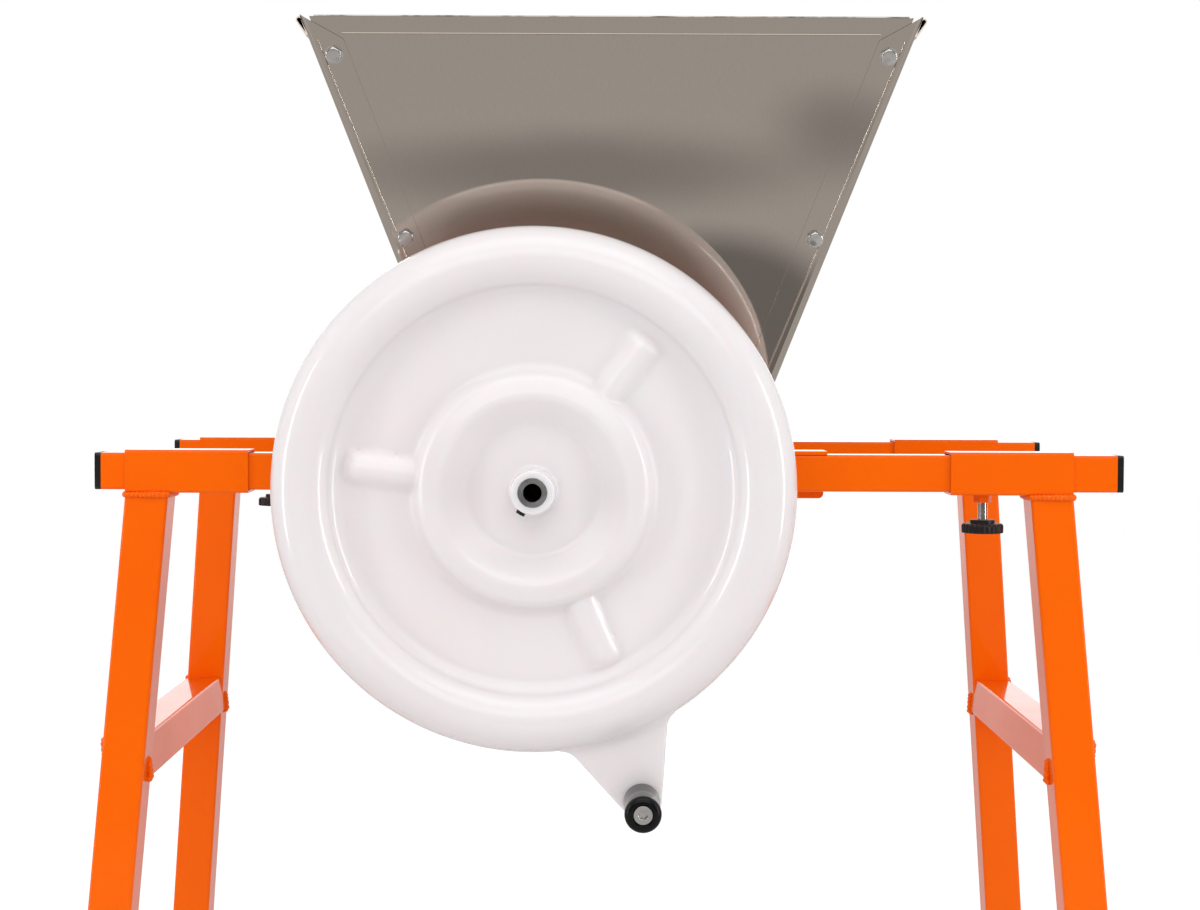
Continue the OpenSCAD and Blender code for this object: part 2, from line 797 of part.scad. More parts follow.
module gear(x) {
    boss_front = bush_end + air;
    color("dimgray") placed() difference() {
        union() {
            on_shaft(x, gear_y + gear_face) linear_extrude(gear_face) gear_profile();
            on_shaft(x, gear_y + overlap) cylinder(d = boss_d, h = gear_y + overlap - boss_front);
        }
        on_shaft(x, shaft_rear) cylinder(d = shaft_d + 2 * fit, h = chassis_depth);
        translate([x, gear_pin_y, shaft_z])
            cylinder(d = gear_pin_d + 2 * fit, h = 2 * boss_d, center = true);
    }
}

module drive_gear() gear(-shaft_x);

module driven_gear() gear(shaft_x);

// Gear guard

module guard_outline(r) {
    steps = 24;
    polygon([
        for (i = [0:steps]) let (a = -90 + 180 * i / steps) [shaft_x + r * cos(a), shaft_z + r * sin(a)],
        for (i = [0:steps]) let (a = 90 + 180 * i / steps) [-shaft_x + r * cos(a), shaft_z + r * sin(a)]
    ]);
}

module guard_screw_places() {
    for (side = [-1, 1]) translate([side * guard_screw_x, arm_face, arm_height]) children();
}

module gear_guard() {
    ear_x = guard_screw_x + guard_ear / 2;
    ear_h = arm_size - 2 * tube_corner;
    color("darkorange") placed() difference() {
        union() {
            upright(arm_face, guard_depth + guard_sheet) guard_outline(guard_r + guard_sheet);
            upright(arm_face, guard_sheet) translate([0, arm_height])
                polygon(rounded([[-ear_x, -ear_h / 2, 5], [ear_x, -ear_h / 2, 5], [ear_x, ear_h / 2, 5],
                    [-ear_x, ear_h / 2, 5]]));
        }
        upright(arm_face - overlap, guard_depth + overlap) guard_outline(guard_r);
        guard_screw_places() rotate([90, 0, 0])
            cylinder(d = base_thread + 2 * bolt_play, h = 4 * guard_sheet, center = true);
    }
}

module gear_guard_screws() {
    color("gainsboro") placed() guard_screw_places() rotate([-90, 0, 0]) {
        translate([0, 0, guard_sheet]) hex(base_thread, head_height(base_thread));
        translate([0, 0, -2 * arm_wall]) cylinder(d = base_thread, h = 2 * arm_wall + guard_sheet + overlap);
    }
}

// Flywheel

module wheel_frame() {
    on_shaft(-shaft_x, wheel_y) children();
}

module wheel_half_profile(hub_reach) {
    bore = shaft_d / 2 + fit;
    polygon(rounded([
        [bore, 0, 0], [wheel_r - overlap / 2, 0, 0], [wheel_r, hair / 2, 0],
        [wheel_r, rim_half, rim_half - hair], [crest_r, rim_half, rim_half], [dish_r, web_half, dish_blend],
        [ring_outer + ring_draft, web_half, ring_round], [ring_outer, ring_half, ring_round],
        [ring_inner, ring_half, recess_round], [recess_r, web_half, recess_round],
        [hub_d / 2 + hub_draft, web_half, hub_fillet], [hub_d / 2, hub_reach, hub_round], [bore, hub_reach, 0]
    ], rim_steps));
}

module wheel_ribs() {
    sink = rib_r - rib_height;
    half_width = sqrt(rib_r * rib_r - sink * sink);
    root = ring_outer - rib_seat;
    length = rib_end - half_width + rib_r - root;
    intersection() {
        for (i = [0:rib_count - 1])
            rotate(rib_turn + i * 360 / rib_count) translate([root, 0, web_half - sink]) rotate([0, 90, 0])
                rotate_extrude()
                    polygon(rounded([
                        [0, 0, 0], [rib_r, 0, 0], [rib_r, length, rib_r - hair], [0, length, 0]
                    ]));
        translate([0, 0, -web_half / 2]) cylinder(r = wheel_r, h = wheel_rim);
    }
}

// Tapered ear in the rim's middle plane, blended into the rim; the handle's axis is on its tip
module lug_outline() {
    edge_out = [sin(lug_slope), cos(lug_slope)];
    reach = crank_r * sin(lug_slope) + lug_tip;
    root_u = wheel_r - rim_half;
    root_v = (reach - root_u * sin(lug_slope)) / cos(lug_slope);
    blend_turn = asin((reach + lug_blend) / (wheel_r + lug_blend)) - lug_slope;
    blend_at = (wheel_r + lug_blend) * [cos(blend_turn), sin(blend_turn)];
    tip = [crank_r, 0] + lug_tip * edge_out;
    polygon([[tip.x, -tip.y], tip, [root_u, root_v], [root_u, -root_v]]);
    translate([crank_r, 0]) circle(r = lug_tip);
    for (side = [0, 1])
        mirror([0, side]) difference() {
            polygon([blend_at, blend_at - edge_out * (lug_blend + overlap), [root_u, root_v / 2],
                blend_at * root_u / norm(blend_at)]);
            translate(blend_at) circle(r = lug_blend);
        }
}

module flywheel() {
    color("white") placed() wheel_frame() difference() {
        union() {
            rotate_extrude() wheel_half_profile(hub_front);
            mirror([0, 0, 1]) rotate_extrude() wheel_half_profile(hub_rear);
            wheel_ribs();
            mirror([0, 0, 1]) wheel_ribs();
            difference() {
                rotate(crank_turn) translate([0, 0, -lug_plate / 2]) linear_extrude(lug_plate) lug_outline();
                cylinder(r = wheel_r - rim_half, h = 2 * lug_plate, center = true);
            }
        }
        rotate(crank_turn) translate([crank_r, 0, 0])
            cylinder(d = handle_thread + 2 * fit, h = 2 * lug_plate, center = true);
        translate([0, 0, hub_front - set_screw_back]) rotate([0, 90, set_screw_turn])
            cylinder(d = set_screw_d + 2 * fit, h = hub_d);
    }
}

module flywheel_set_screw() {
    color("black") placed() wheel_frame() translate([0, 0, hub_front - set_screw_back])
        rotate([0, 90, set_screw_turn]) translate([0, 0, shaft_d / 2 + fit])
            cylinder(d = set_screw_d, h = hub_d / 2 + set_screw_proud - shaft_d / 2);
}

// Handle

module handle_frame(y) {
    on_shaft(-shaft_x, y) rotate(crank_turn) translate([crank_r, 0, 0]) children();
}

module handle_bolt() {
    head_back = grip_front + head_recess;
    tail = wheel_y + lug_plate / 2 + handle_nut_h + 2;
    color("silver") placed() {
        handle_frame(tail) cylinder(d = handle_thread, h = tail - head_back + overlap);
        handle_frame(head_back - air) difference() {
            cylinder(d = handle_head_d, h = handle_head_h);
            translate([0, 0, handle_head_h / 3])
                cylinder(d = handle_thread * 0.75 / cos(30), h = handle_head_h, $fn = 6);
        }
    }
}

module handle_nut() {
    color("silver") placed() handle_frame(wheel_y + lug_plate / 2 + handle_nut_h)
        hex_nut(hex_across(handle_thread), handle_thread, handle_nut_h);
}

module handle_grip() {
    r = grip_d / 2;
    chamfer = 2.5;
    color("black") placed() handle_frame(grip_back) rotate_extrude()
        polygon(rounded([
            [handle_thread / 2 + fit, 0, 0], [r - 1, 0, 1], [r, 4, 3], [r - 0.8, grip_length / 2, 60],
            [r, grip_length - chamfer - 2, 1], [r - chamfer, grip_length, 0.8],
            [handle_head_d / 2 + 1, grip_length, 0.5], [handle_head_d / 2 + 1, grip_length - head_recess, 0],
            [handle_thread / 2 + fit, grip_length - head_recess, 0]
        ]));
}

// Trestles

module leaning(side, end) {
    translate([leg_top_x(side), end * arm_y, sleeve_bottom])
        rotate([end * leg_splay_y, -side * leg_splay_x, 0]) children();
}

module leg_bar(side, end) {
    leaning(side, end) linear_extrude(2 * arm_height, center = true) children();
}

module between(low, high) {
    intersection() {
        children();
        translate([-far / 2, -far / 2, low]) cube([far, far, high - low]);
    }
}

module leg(side, end) {
    color("darkorange") placed() between(foot_sole, sleeve_bottom)
        leg_bar(side, end) tube_profile(leg_size, leg_wall);
}

module cross_rail(side) {
    color("darkorange") placed() difference() {
        translate([leg_x(side, rail_fall), 0, rail_z]) rotate([90, 0, 0]) rotate([0, 0, -side * leg_splay_x])
            mirror([0, 0, 1]) linear_extrude(2 * leg_y(rail_fall), center = true)
                tube_profile(leg_size, leg_wall);
        for (end = [-1, 1]) leg_bar(side, end) polygon(rounded(square_corners(leg_size, tube_corner)));
    }
}

module foot_caps(side) {
    color("black") placed()
        for (end = [-1, 1])
            difference() {
                between(0, foot_height) leg_bar(side, end)
                    polygon(rounded(square_corners(leg_size + 2 * foot_wall, tube_corner + foot_wall)));
                between(foot_sole, far) leg_bar(side, end)
                    polygon(rounded(square_corners(leg_size, tube_corner)));
            }
}

module sleeve(side, end) {
    outer = sleeve_out(side);
    color("darkorange") placed() difference() {
        mirror([side < 0 ? 1 : 0, 0, 0]) translate([0, end * arm_y, arm_height])
            bar_along_x(outer - sleeve_length, outer) tube_profile(sleeve_size, sleeve_wall);
        if (end == -side) clamp_frame(side, sleeve_bottom)
            cylinder(d = clamp_thread + 2 * bolt_play, h = 4 * sleeve_wall, center = true);
    }
}

module clamp_frame(side, z) {
    translate([side * (sleeve_out(side) - sleeve_length + clamp_inset), -side * arm_y, z]) children();
}

module clamp_nut(side) {
    color("darkorange") placed() clamp_frame(side, sleeve_bottom - clamp_nut_height)
        hex_nut(clamp_nut_across, clamp_thread, clamp_nut_height);
}

module clamp_screw(side) {
    low = knob_top - knob_embed;
    color("silver") placed() clamp_frame(side, low)
        cylinder(d = clamp_thread, h = arm_height - arm_size / 2 - air - low);
}

module clamp_knob(side) {
    scallop_r = knob_d * 0.14;
    body_h = knob_h - knob_neck;
    color("black") placed() clamp_frame(side, knob_top - knob_h) difference() {
        union() {
            cylinder(d = knob_d, h = body_h);
            translate([0, 0, body_h - overlap]) cylinder(d = knob_d * 0.6, h = knob_neck + overlap);
        }
        for (i = [0:knob_lobes - 1])
            rotate((i + 0.5) * 360 / knob_lobes) translate([knob_d / 2 + scallop_r * 0.55, 0, -overlap])
                cylinder(r = scallop_r, h = knob_h + 2 * overlap);
        translate([0, 0, knob_h - knob_embed]) cylinder(d = clamp_thread + 2 * fit, h = knob_h);
    }
}

module left_front_sleeve() sleeve(-1, -1);

module left_rear_sleeve() sleeve(-1, 1);

module left_front_leg() leg(-1, -1);

module left_rear_leg() leg(-1, 1);

module left_cross_rail() cross_rail(-1);

module left_foot_caps() foot_caps(-1);

module left_clamp_nut() clamp_nut(-1);

module left_clamp_screw() clamp_screw(-1);

module left_clamp_knob() clamp_knob(-1);

module right_front_sleeve() sleeve(1, -1);

module right_rear_sleeve() sleeve(1, 1);

module right_front_leg() leg(1, -1);

module right_rear_leg() leg(1, 1);

module right_cross_rail() cross_rail(1);

module right_foot_caps() foot_caps(1);

module right_clamp_nut() clamp_nut(1);

module right_clamp_screw() clamp_screw(1);

module right_clamp_knob() clamp_knob(1);

chassis_front_plate();
chassis_rear_plate();
chassis_left_rail();
chassis_right_rail();
front_left_arm();
front_right_arm();
rear_left_arm();
rear_right_arm();
arm_end_caps();
hopper_front_panel();
hopper_rear_panel();
hopper_left_panel();
hopper_right_panel();
hopper_corner_bolts();
hopper_corner_nuts();
hopper_base_bolts();
hopper_base_nuts();
front_roller_bushes();
rear_roller_bushes();
gear_guard();
gear_guard_screws();
drive_shaft();
drive_collar();
drive_roller();
drive_roller_pin();
drive_gear();
drive_gear_pin();
flywheel();
flywheel_set_screw();
handle_bolt();
handle_nut();
handle_grip();
driven_shaft();
driven_collar();
driven_roller();
driven_roller_pin();
driven_gear();
driven_gear_pin();
left_front_sleeve();
left_rear_sleeve();
left_front_leg();
left_rear_leg();
left_cross_rail();
left_foot_caps();
left_clamp_nut();
left_clamp_screw();
left_clamp_knob();
right_front_sleeve();
right_rear_sleeve();
right_front_leg();
right_rear_leg();
right_cross_rail();
right_foot_caps();
right_clamp_nut();
right_clamp_screw();
right_clamp_knob();
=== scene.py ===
"""Looks of a hand-cranked grape crusher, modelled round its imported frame.

Run as a script it registers its classes, makes and dresses every piece in order and sets the stage.
"""
import json
import math
from contextlib import contextmanager

import bmesh
import bpy
from bpy.props import FloatProperty, FloatVectorProperty, IntProperty, PointerProperty
from mathutils import Matrix, Vector

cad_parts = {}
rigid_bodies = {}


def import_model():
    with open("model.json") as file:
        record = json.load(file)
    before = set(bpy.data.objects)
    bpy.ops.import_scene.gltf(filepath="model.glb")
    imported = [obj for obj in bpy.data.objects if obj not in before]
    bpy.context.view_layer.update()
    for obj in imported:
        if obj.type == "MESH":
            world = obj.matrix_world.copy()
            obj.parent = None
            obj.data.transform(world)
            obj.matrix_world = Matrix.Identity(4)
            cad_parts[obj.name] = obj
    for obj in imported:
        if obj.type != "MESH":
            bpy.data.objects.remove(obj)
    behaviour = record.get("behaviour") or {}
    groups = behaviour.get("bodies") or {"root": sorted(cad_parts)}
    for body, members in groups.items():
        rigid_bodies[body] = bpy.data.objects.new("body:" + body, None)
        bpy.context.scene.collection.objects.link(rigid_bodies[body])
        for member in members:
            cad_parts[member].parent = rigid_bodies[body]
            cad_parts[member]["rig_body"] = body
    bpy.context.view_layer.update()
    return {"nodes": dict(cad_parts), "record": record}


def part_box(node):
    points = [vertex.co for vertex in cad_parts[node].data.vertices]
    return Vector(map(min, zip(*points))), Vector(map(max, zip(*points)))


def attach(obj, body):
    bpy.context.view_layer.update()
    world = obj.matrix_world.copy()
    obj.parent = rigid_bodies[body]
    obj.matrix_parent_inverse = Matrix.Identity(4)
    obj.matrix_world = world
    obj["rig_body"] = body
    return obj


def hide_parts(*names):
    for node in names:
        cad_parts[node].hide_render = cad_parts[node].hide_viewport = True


bl_info = {
    "name": "Grape Crusher",
    "version": (1, 0, 0),
    "blender": (4, 5, 0),
    "location": "View3D > Sidebar > Crusher",
    "description": "Models and dresses a hand-cranked grape crusher round its frame",
    "category": "Object",
}

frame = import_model()
MM = 0.001
TINY = 1e-6
IMAGE_WIDTH = 1200
# Bends smaller than this count as flat
FLAT_ANGLE = math.radians(0.2)
HANDLE_FASTENERS = ("handle_bolt", "handle_nut")
KNOBS = ("left_clamp_knob", "right_clamp_knob")
# Width of a dressed hex head, as a share of the plain bolt's
HEAD_SHARE = 0.92
# Ovals of painted shade and painted pools of light on the floor, seen in reflections only: place, reach,
# even core and level
PAINTED_FLOOR_SHADE_AND_LIGHT = (
    ((-0.05, -2.2), (0.6, 0.25), 0.2, 0.55),
    ((0.2, -1.6), (0.24, 0.42), 0.6, 0.28),
    ((0.47, -2.38), (0.2, 0.3), 0.1, 0.6),
    ((0.0, -30.0), (80.0, 27.0), 0.8, 0.12),
    ((-1.1, -1.2), (0.35, 0.4), 0.4, 2.0),
    ((1.1, -1.2), (0.35, 0.4), 0.4, 2.0),
    ((0.0, 24.0), (80.0, 21.0), 0.8, 1.6),
)
# Lamps: name, place, size and the setting of their power
LAMPS = (
    ("top_softbox", (0, -1.3, 2.7), (2.4, 1.4), "top_power"),
    ("front_softbox", (0, -2.7, 1.9), (2.6, 1.2), "front_power"),
    ("back_softbox", (0, 2.6, 1.6), (3.0, 2.0), "back_power"),
    ("left_strip", (-2.4, -1.2, 0.95), (0.2, 1.8), "strip_power"),
    ("right_strip", (2.4, -1.2, 0.95), (0.2, 1.8), "strip_power"),
)
LAMP_TARGET = (0, 0, 0.7)


def middle(node):
    """Centre of a node's box."""
    low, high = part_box(node)
    return (low + high) / 2


def wheel_radius():
    """Radius of the flywheel's rim: its left edge is clear of the crank lug."""
    return middle("drive_shaft").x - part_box("flywheel")[0].x


# Settings


def number_setting(name, description, default):
    return FloatProperty(name=name, description=description, default=default)


def length_setting(name, description, default):
    return FloatProperty(name=name, description=description, default=default, unit="LENGTH")


def angle_setting(name, description, degrees):
    return FloatProperty(name=name, description=description, default=math.radians(degrees), subtype="ANGLE")


def count_setting(name, description, default, least):
    return IntProperty(name=name, description=description, default=default, min=least)


def colour_setting(name, description, default):
    return FloatVectorProperty(
        name=name, description=description, default=default, subtype="COLOR", min=0, max=1)


class WheelSettings(bpy.types.PropertyGroup):
    """Sizes and colour of the moulded flywheel."""

    rim_radius: length_setting("Rim radius", "Outer radius of the rim", wheel_radius())
    rim_half: length_setting("Rim half depth", "Half the depth of the round rim", 24 * MM)
    web_half: length_setting("Web half thickness", "Half the thickness of the dished web", 5 * MM)
    dish_slope: angle_setting("Dish slope", "Slope of the dish wall", 60)
    dish_blend: length_setting("Dish blend", "Radius between dish wall and web", 14.5 * MM)
    ring_outer: length_setting("Ring outer radius", "Outer radius of the raised ring", 91 * MM)
    ring_inner: length_setting("Ring inner radius", "Inner radius of the raised ring", 71 * MM)
    ring_half: length_setting("Ring half depth", "Half the wheel's thickness at the ring", 19 * MM)
    ring_fall: length_setting("Ring fall", "Fall of the ring's top towards its outer edge", 3 * MM)
    recess_radius: length_setting("Recess radius", "Radius of the flat round the hub", 50 * MM)
    hub_radius: length_setting("Hub radius", "Radius of the moulded hub", 16.25 * MM)
    hub_front: length_setting("Hub front", "Reach of the hub in front of the rim's middle plane", 43 * MM)
    bore_radius: length_setting("Bore radius", "Radius of the bore for the shaft", 11.05 * MM)
    rib_height: length_setting("Rib height", "Height of the ribs above the web", 7 * MM)
    rib_half_width: length_setting("Rib half width", "Half the width of a rib", 13 * MM)
    rib_end: length_setting("Rib end", "Radius at which the ribs have died away", 147 * MM)
    rib_turn: angle_setting("Rib turn", "Turn of the first rib from the right", 53)
    rib_count: count_setting("Ribs", "Ribs on each face", 3, least=0)
    steps: count_setting("Steps", "Steps of the moulding round its axis", 230, least=48)
    lug_tip: length_setting("Lug tip radius", "Radius of the crank lug's tip", 15.5 * MM)
    lug_slope: angle_setting("Lug slope", "Slope of the lug's edges", 23)
    lug_blend: length_setting("Lug blend", "Radius between lug and rim", 15 * MM)
    lug_fillet: length_setting("Lug fillet", "Radius of the fillet between lug's faces and rim", 9 * MM)
    lug_half: length_setting("Lug half thickness", "Half the thickness of the lug", 7 * MM)
    lug_edge: length_setting("Lug edge round", "Round on the lug's edges", 2.5 * MM)
    colour: colour_setting("Moulding", "Colour of the white moulding", (0.86, 0.825, 0.835))


class HandleSettings(bpy.types.PropertyGroup):
    """Sizes of the turned handle grip."""

    bore_radius: length_setting("Bore radius", "Radius of the bore for the bolt", 4.05 * MM)
    hole_radius: length_setting("Hole radius", "Radius of the hole for the bolt's head", 8 * MM)
    hole_depth: length_setting("Hole depth", "Depth of the hole for the bolt's head", 7 * MM)
    shoulder: length_setting("Shoulder", "Round on the grip's front edge", 5 * MM)
    waist: length_setting("Waist", "Hollow of the grip at half its length", 0.8 * MM)


class StandSettings(bpy.types.PropertyGroup):
    """Finish of the painted stand and its plastic trim."""

    paint: colour_setting("Paint", "Colour of the gloss paint", (1.0, 0.142, 0.0))
    paint_deep: colour_setting("Paint, thick", "Colour where the paint is thickest", (0.97, 0.13, 0.0))
    edge_round: length_setting("Edge round", "Round on the painted steel's cut edges", 0.5 * MM)
    bead_radius: length_setting("Weld bead radius", "Radius of the weld beads", 3 * MM)
    bead_pitch: length_setting("Weld ripple", "Spacing of the ripples of a weld bead", 3.4 * MM)
    knob_flutes: count_setting("Flutes", "Flutes round a clamp knob", 26, least=3)
    flute_depth: length_setting("Flute depth", "Depth of a knob's flutes", 0.7 * MM)
    knob_neck: length_setting("Knob neck", "Height of a knob's neck", 3 * MM)
    knob_neck_share: number_setting("Neck width", "Width of a knob's neck as a share of the knob's", 0.6)
    plastic: colour_setting("Black plastic", "Colour of plugs, feet and knobs", (0.006, 0.006, 0.0065))
    plastic_round: length_setting("Plastic round", "Round on the edges of plugs and feet", 0.8 * MM)


class HopperSettings(bpy.types.PropertyGroup):
    """Finish of the hopper's sheet and its fasteners."""

    steel: colour_setting("Sheet", "Colour of the stainless sheet", (0.54, 0.47, 0.41))
    steel_dark: colour_setting("Sheet, streaks", "Colour of the darker streaks", (0.52, 0.452, 0.394))
    sheet_round: length_setting("Sheet edge round", "Round on the sheet's cut edges", 0.4 * MM)
    hem_lip: length_setting("Hem lip radius", "Radius of the burnished lips of the hems", 0.6 * MM)
    lap_lip: length_setting("Lap lip radius", "Radius of the burnished lips of the laps", 0.9 * MM)
    lap_inset: length_setting("Lap lip inset", "Distance of a lap's lip from its folded edge", 0.5 * MM)
    flat_area: FloatProperty(
        name="Flat area", description="Sheet faces larger than this are shaded flat", default=400 * MM * MM,
        unit="AREA")
    corner_head: length_setting("Corner head height", "Height of the corner bolts' heads", 5.28 * MM)
    base_head: length_setting("Base head height", "Height of the base bolts' heads", 3.96 * MM)
    zinc: colour_setting("Zinc", "Colour of the plated fasteners", (0.7, 0.67, 0.64))


class StageSettings(bpy.types.PropertyGroup):
    """Camera and light."""

    camera_place: FloatVectorProperty(
        name="Camera", description="Place of the camera", default=(-0.003, -1.8796, 0.7815), subtype="XYZ")
    camera_turn: FloatVectorProperty(
        name="Camera turn", description="Pitch, roll and yaw of the camera",
        default=(math.radians(87.81), math.radians(-0.2), math.radians(-0.1)), subtype="EULER")
    focal_pixels: number_setting("Focal length", "Focal length in pixels of a picture 1200 wide", 2165)
    sensor: number_setting("Sensor", "Width of the sensor in millimetres", 36)
    floor_size: length_setting("Floor", "Side of the square floor", 60)
    fill: number_setting("Fill", "Strength of the even light from all round", 0.62)
    room: number_setting("Room", "Brightness of the room behind the camera in reflections", 0.12)
    backdrop: number_setting("Backdrop", "Brightness of the backdrop in reflections", 0.8)
    top_power: number_setting("Top", "Power of the softbox above", 13)
    front_power: number_setting("Front", "Power of the softbox in front", 13.2)
    back_power: number_setting("Back", "Power of the softbox behind", 12)
    strip_power: number_setting("Strips", "Power of each strip light", 12)
    mirrored_floor: number_setting("Mirrored floor", "Glow of the floor in reflections", 0.47)
    seen_floor: number_setting("Seen floor", "Glow of the floor to the camera, under its shadows", 0.75)


# Modelling helpers


def deselect_all():
    """Object mode with nothing selected."""
    if bpy.context.mode != "OBJECT":
        bpy.ops.object.mode_set(mode="OBJECT")
    bpy.ops.object.select_all(action="DESELECT")


def pick(piece):
    """Makes one object the only selected and the active one."""
    deselect_all()
    piece.select_set(True)
    bpy.context.view_layer.objects.active = piece


@contextmanager
def editing(piece):
    """Edit mode on one object, with all of it selected at first."""
    pick(piece)
    bpy.ops.object.mode_set(mode="EDIT")
    bpy.ops.mesh.select_all(action="SELECT")
    yield
    bpy.ops.object.mode_set(mode="OBJECT")


def rename(piece, name):
    """Names an object and its mesh."""
    piece.name = name
    piece.data.name = name


def add_object(name, data):
    """A new object in the scene."""
    piece = bpy.data.objects.new(name, data)
    bpy.context.scene.collection.objects.link(piece)
    return piece


def apply_modifier(piece, kind, **settings):
    """Adds a modifier and applies it."""
    pick(piece)
    modifier = piece.modifiers.new(kind.title(), kind)
    for name, value in settings.items():
        setattr(modifier, name, value)
    bpy.ops.object.modifier_apply(modifier=modifier.name)


def combine(piece, other, operation):
    """Applies a Boolean with another object, which it uses up."""
    apply_modifier(piece, "BOOLEAN", operation=operation, object=other, solver="EXACT")
    bpy.data.objects.remove(other)


def bevel(piece, width, segments, degrees):
    """Rounds the edges that are sharper than so many degrees."""
    apply_modifier(
        piece, "BEVEL", width=width, segments=segments, limit_method="ANGLE",
        angle_limit=math.radians(degrees))


def half_turn(turn):
    """The same turn between minus and plus half a turn."""
    return (turn + math.pi) % (2 * math.pi) - math.pi


def rounded(corners, steps):
    """Points of a closed outline whose corners (x, y, radius) are rounded."""
    points = []
    for i, (x, y, radius) in enumerate(corners):
        here = Vector((x, y))
        if radius == 0:
            points.append(here)
            continue
        before = (Vector(corners[i - 1][:2]) - here).normalized()
        after = (Vector(corners[(i + 1) % len(corners)][:2]) - here).normalized()
        half = before.angle(after) / 2
        centre = here + (before + after).normalized() * (radius / math.sin(half))
        start = here + before * (radius / math.tan(half)) - centre
        end = here + after * (radius / math.tan(half)) - centre
        first = math.atan2(start.y, start.x)
        sweep = half_turn(math.atan2(end.y, end.x) - first)
        for step in range(steps + 1):
            turn = first + sweep * step / steps
            points.append(centre + radius * Vector((math.cos(turn), math.sin(turn))))
    return points


def evenly(points, longest):
    """The closed outline with its long stretches divided."""
    spaced = []
    for i, point in enumerate(points):
        following = points[(i + 1) % len(points)]
        count = max(1, math.ceil((following - point).length / longest))
        spaced += [point.lerp(following, step / count) for step in range(count)]
    return spaced


def start_outline(name, points):
    """A closed outline through the points, as a new object at the origin."""
    deselect_all()
    bpy.ops.mesh.primitive_circle_add(vertices=len(points), fill_type="NOTHING", location=(0, 0, 0))
    piece = bpy.context.object
    rename(piece, name)
    for vertex, point in zip(piece.data.vertices, points):
        vertex.co = point
    return piece


def clean_shell():
    """In edit mode: merges doubles and turns all faces outwards."""
    bpy.ops.mesh.select_all(action="SELECT")
    bpy.ops.mesh.remove_doubles(threshold=TINY)
    bpy.ops.mesh.normals_make_consistent(inside=False)


def turned(name, points, centre, axis, steps):
    """A new object turned round an axis from a closed outline through the points."""
    piece = start_outline(name, points)
    with editing(piece):
        bpy.ops.mesh.spin(steps=steps, angle=2 * math.pi, center=centre, axis=axis)
        clean_shell()
    return piece


def smooth(piece, degrees=40):
    """Smooth shading, with edges sharper than so many degrees kept."""
    pick(piece)
    bpy.ops.object.shade_smooth_by_angle(angle=math.radians(degrees))


def join(pieces, name):
    """One object from several, each with its own mesh."""
    deselect_all()
    for piece in pieces:
        piece.select_set(True)
    bpy.context.view_layer.objects.active = pieces[0]
    bpy.ops.object.join()
    rename(pieces[0], name)
    return pieces[0]


def smoothstep(value, low, high):
    """0 below low, 1 above high, and a smooth rise between."""
    share = min(max((value - low) / (high - low), 0), 1)
    return share * share * (3 - 2 * share)


def smooth_max(a, b, blend):
    """The larger value, with the crossing rounded off."""
    share = max(blend - abs(a - b), 0) / blend
    return max(a, b) + share * share * blend / 4


def settle(piece, body, slot, nodes=()):
    """Gives a piece its body, its slot with that slot's material, and the nodes that it stands for."""
    piece.data.materials.clear()
    piece.data.materials.append(MATERIALS[slot])
    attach(piece, body)
    if nodes:
        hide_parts(*nodes)


def merged_shape(node):
    """A bmesh of a node, with doubles merged and flat faces made whole."""
    shape = bmesh.new()
    shape.from_mesh(frame["nodes"][node].data)
    bmesh.ops.remove_doubles(shape, verts=shape.verts, dist=TINY)
    bmesh.ops.dissolve_limit(shape, angle_limit=FLAT_ANGLE, verts=shape.verts, edges=shape.edges)
    return shape


def mark_edges(piece, narrow):
    """Writes the attribute "edge": 1 on vertices that touch only faces narrower than so much, else 0."""
    shape = bmesh.new()
    shape.from_mesh(piece.data)
    slim = {f.index for f in shape.faces if 2 * f.calc_area() < narrow * f.calc_perimeter()}
    marks = [float(all(f.index in slim for f in v.link_faces)) for v in shape.verts]
    shape.free()
    attribute = piece.data.attributes.new("edge", "FLOAT", "POINT")
    attribute.data.foreach_set("value", marks)


def keep_flat(piece, area):
    """Marks the borders of faces larger than an area as sharp, so that their shading stays flat."""
    faces = piece.data.polygons
    keys = {key for face in faces if face.area > area for key in face.edge_keys}
    for edge in piece.data.edges:
        if edge.key in keys:
            edge.use_edge_sharp = True


def softened(node, edge_round, flat_area=None):
    """A merged copy of a node with a small round on its sharp edges."""
    sharp_degrees, area_weight = 32, 100
    piece = add_object(node + "_finish", frame["nodes"][node].data.copy())
    with editing(piece):
        bpy.ops.mesh.remove_doubles(threshold=TINY)
        bpy.ops.mesh.dissolve_limited(angle_limit=FLAT_ANGLE)
    if edge_round:
        bevel(piece, edge_round, 2, sharp_degrees)
    mark_edges(piece, edge_round)
    smooth(piece, sharp_degrees)
    if flat_area:
        keep_flat(piece, flat_area)
    apply_modifier(piece, "WEIGHTED_NORMAL", mode="FACE_AREA", weight=area_weight, keep_sharp=True)
    return piece


def slot_of(node):
    """The record's material slot of a node."""
    return next(s["material_slot"] for s in frame["record"]["subparts"] if s["node"] == node)


def body_of(node):
    """The body that carries a node."""
    return frame["nodes"][node]["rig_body"]


def nodes_in(slots, apart=()):
    """Nodes of some material slots, apart from a few."""
    return [n for n in frame["nodes"] if slot_of(n) in slots and n not in apart]


def soften_nodes(nodes, edge_round, flat_area=None):
    """Softened copies stand for the nodes, each with the material of its slot."""
    for node in nodes:
        settle(softened(node, edge_round, flat_area), body_of(node), slot_of(node), [node])


# Shader helpers


def add_node(tree, kind, inputs=None, **settings):
    """A new node with its settings, and inputs given as values or as sockets to join."""
    made = tree.nodes.new(kind)
    for name, value in settings.items():
        setattr(made, name, value)
    for name, value in (inputs or {}).items():
        if isinstance(value, bpy.types.NodeSocket):
            tree.links.new(value, made.inputs[name])
        else:
            made.inputs[name].default_value = value
    return made


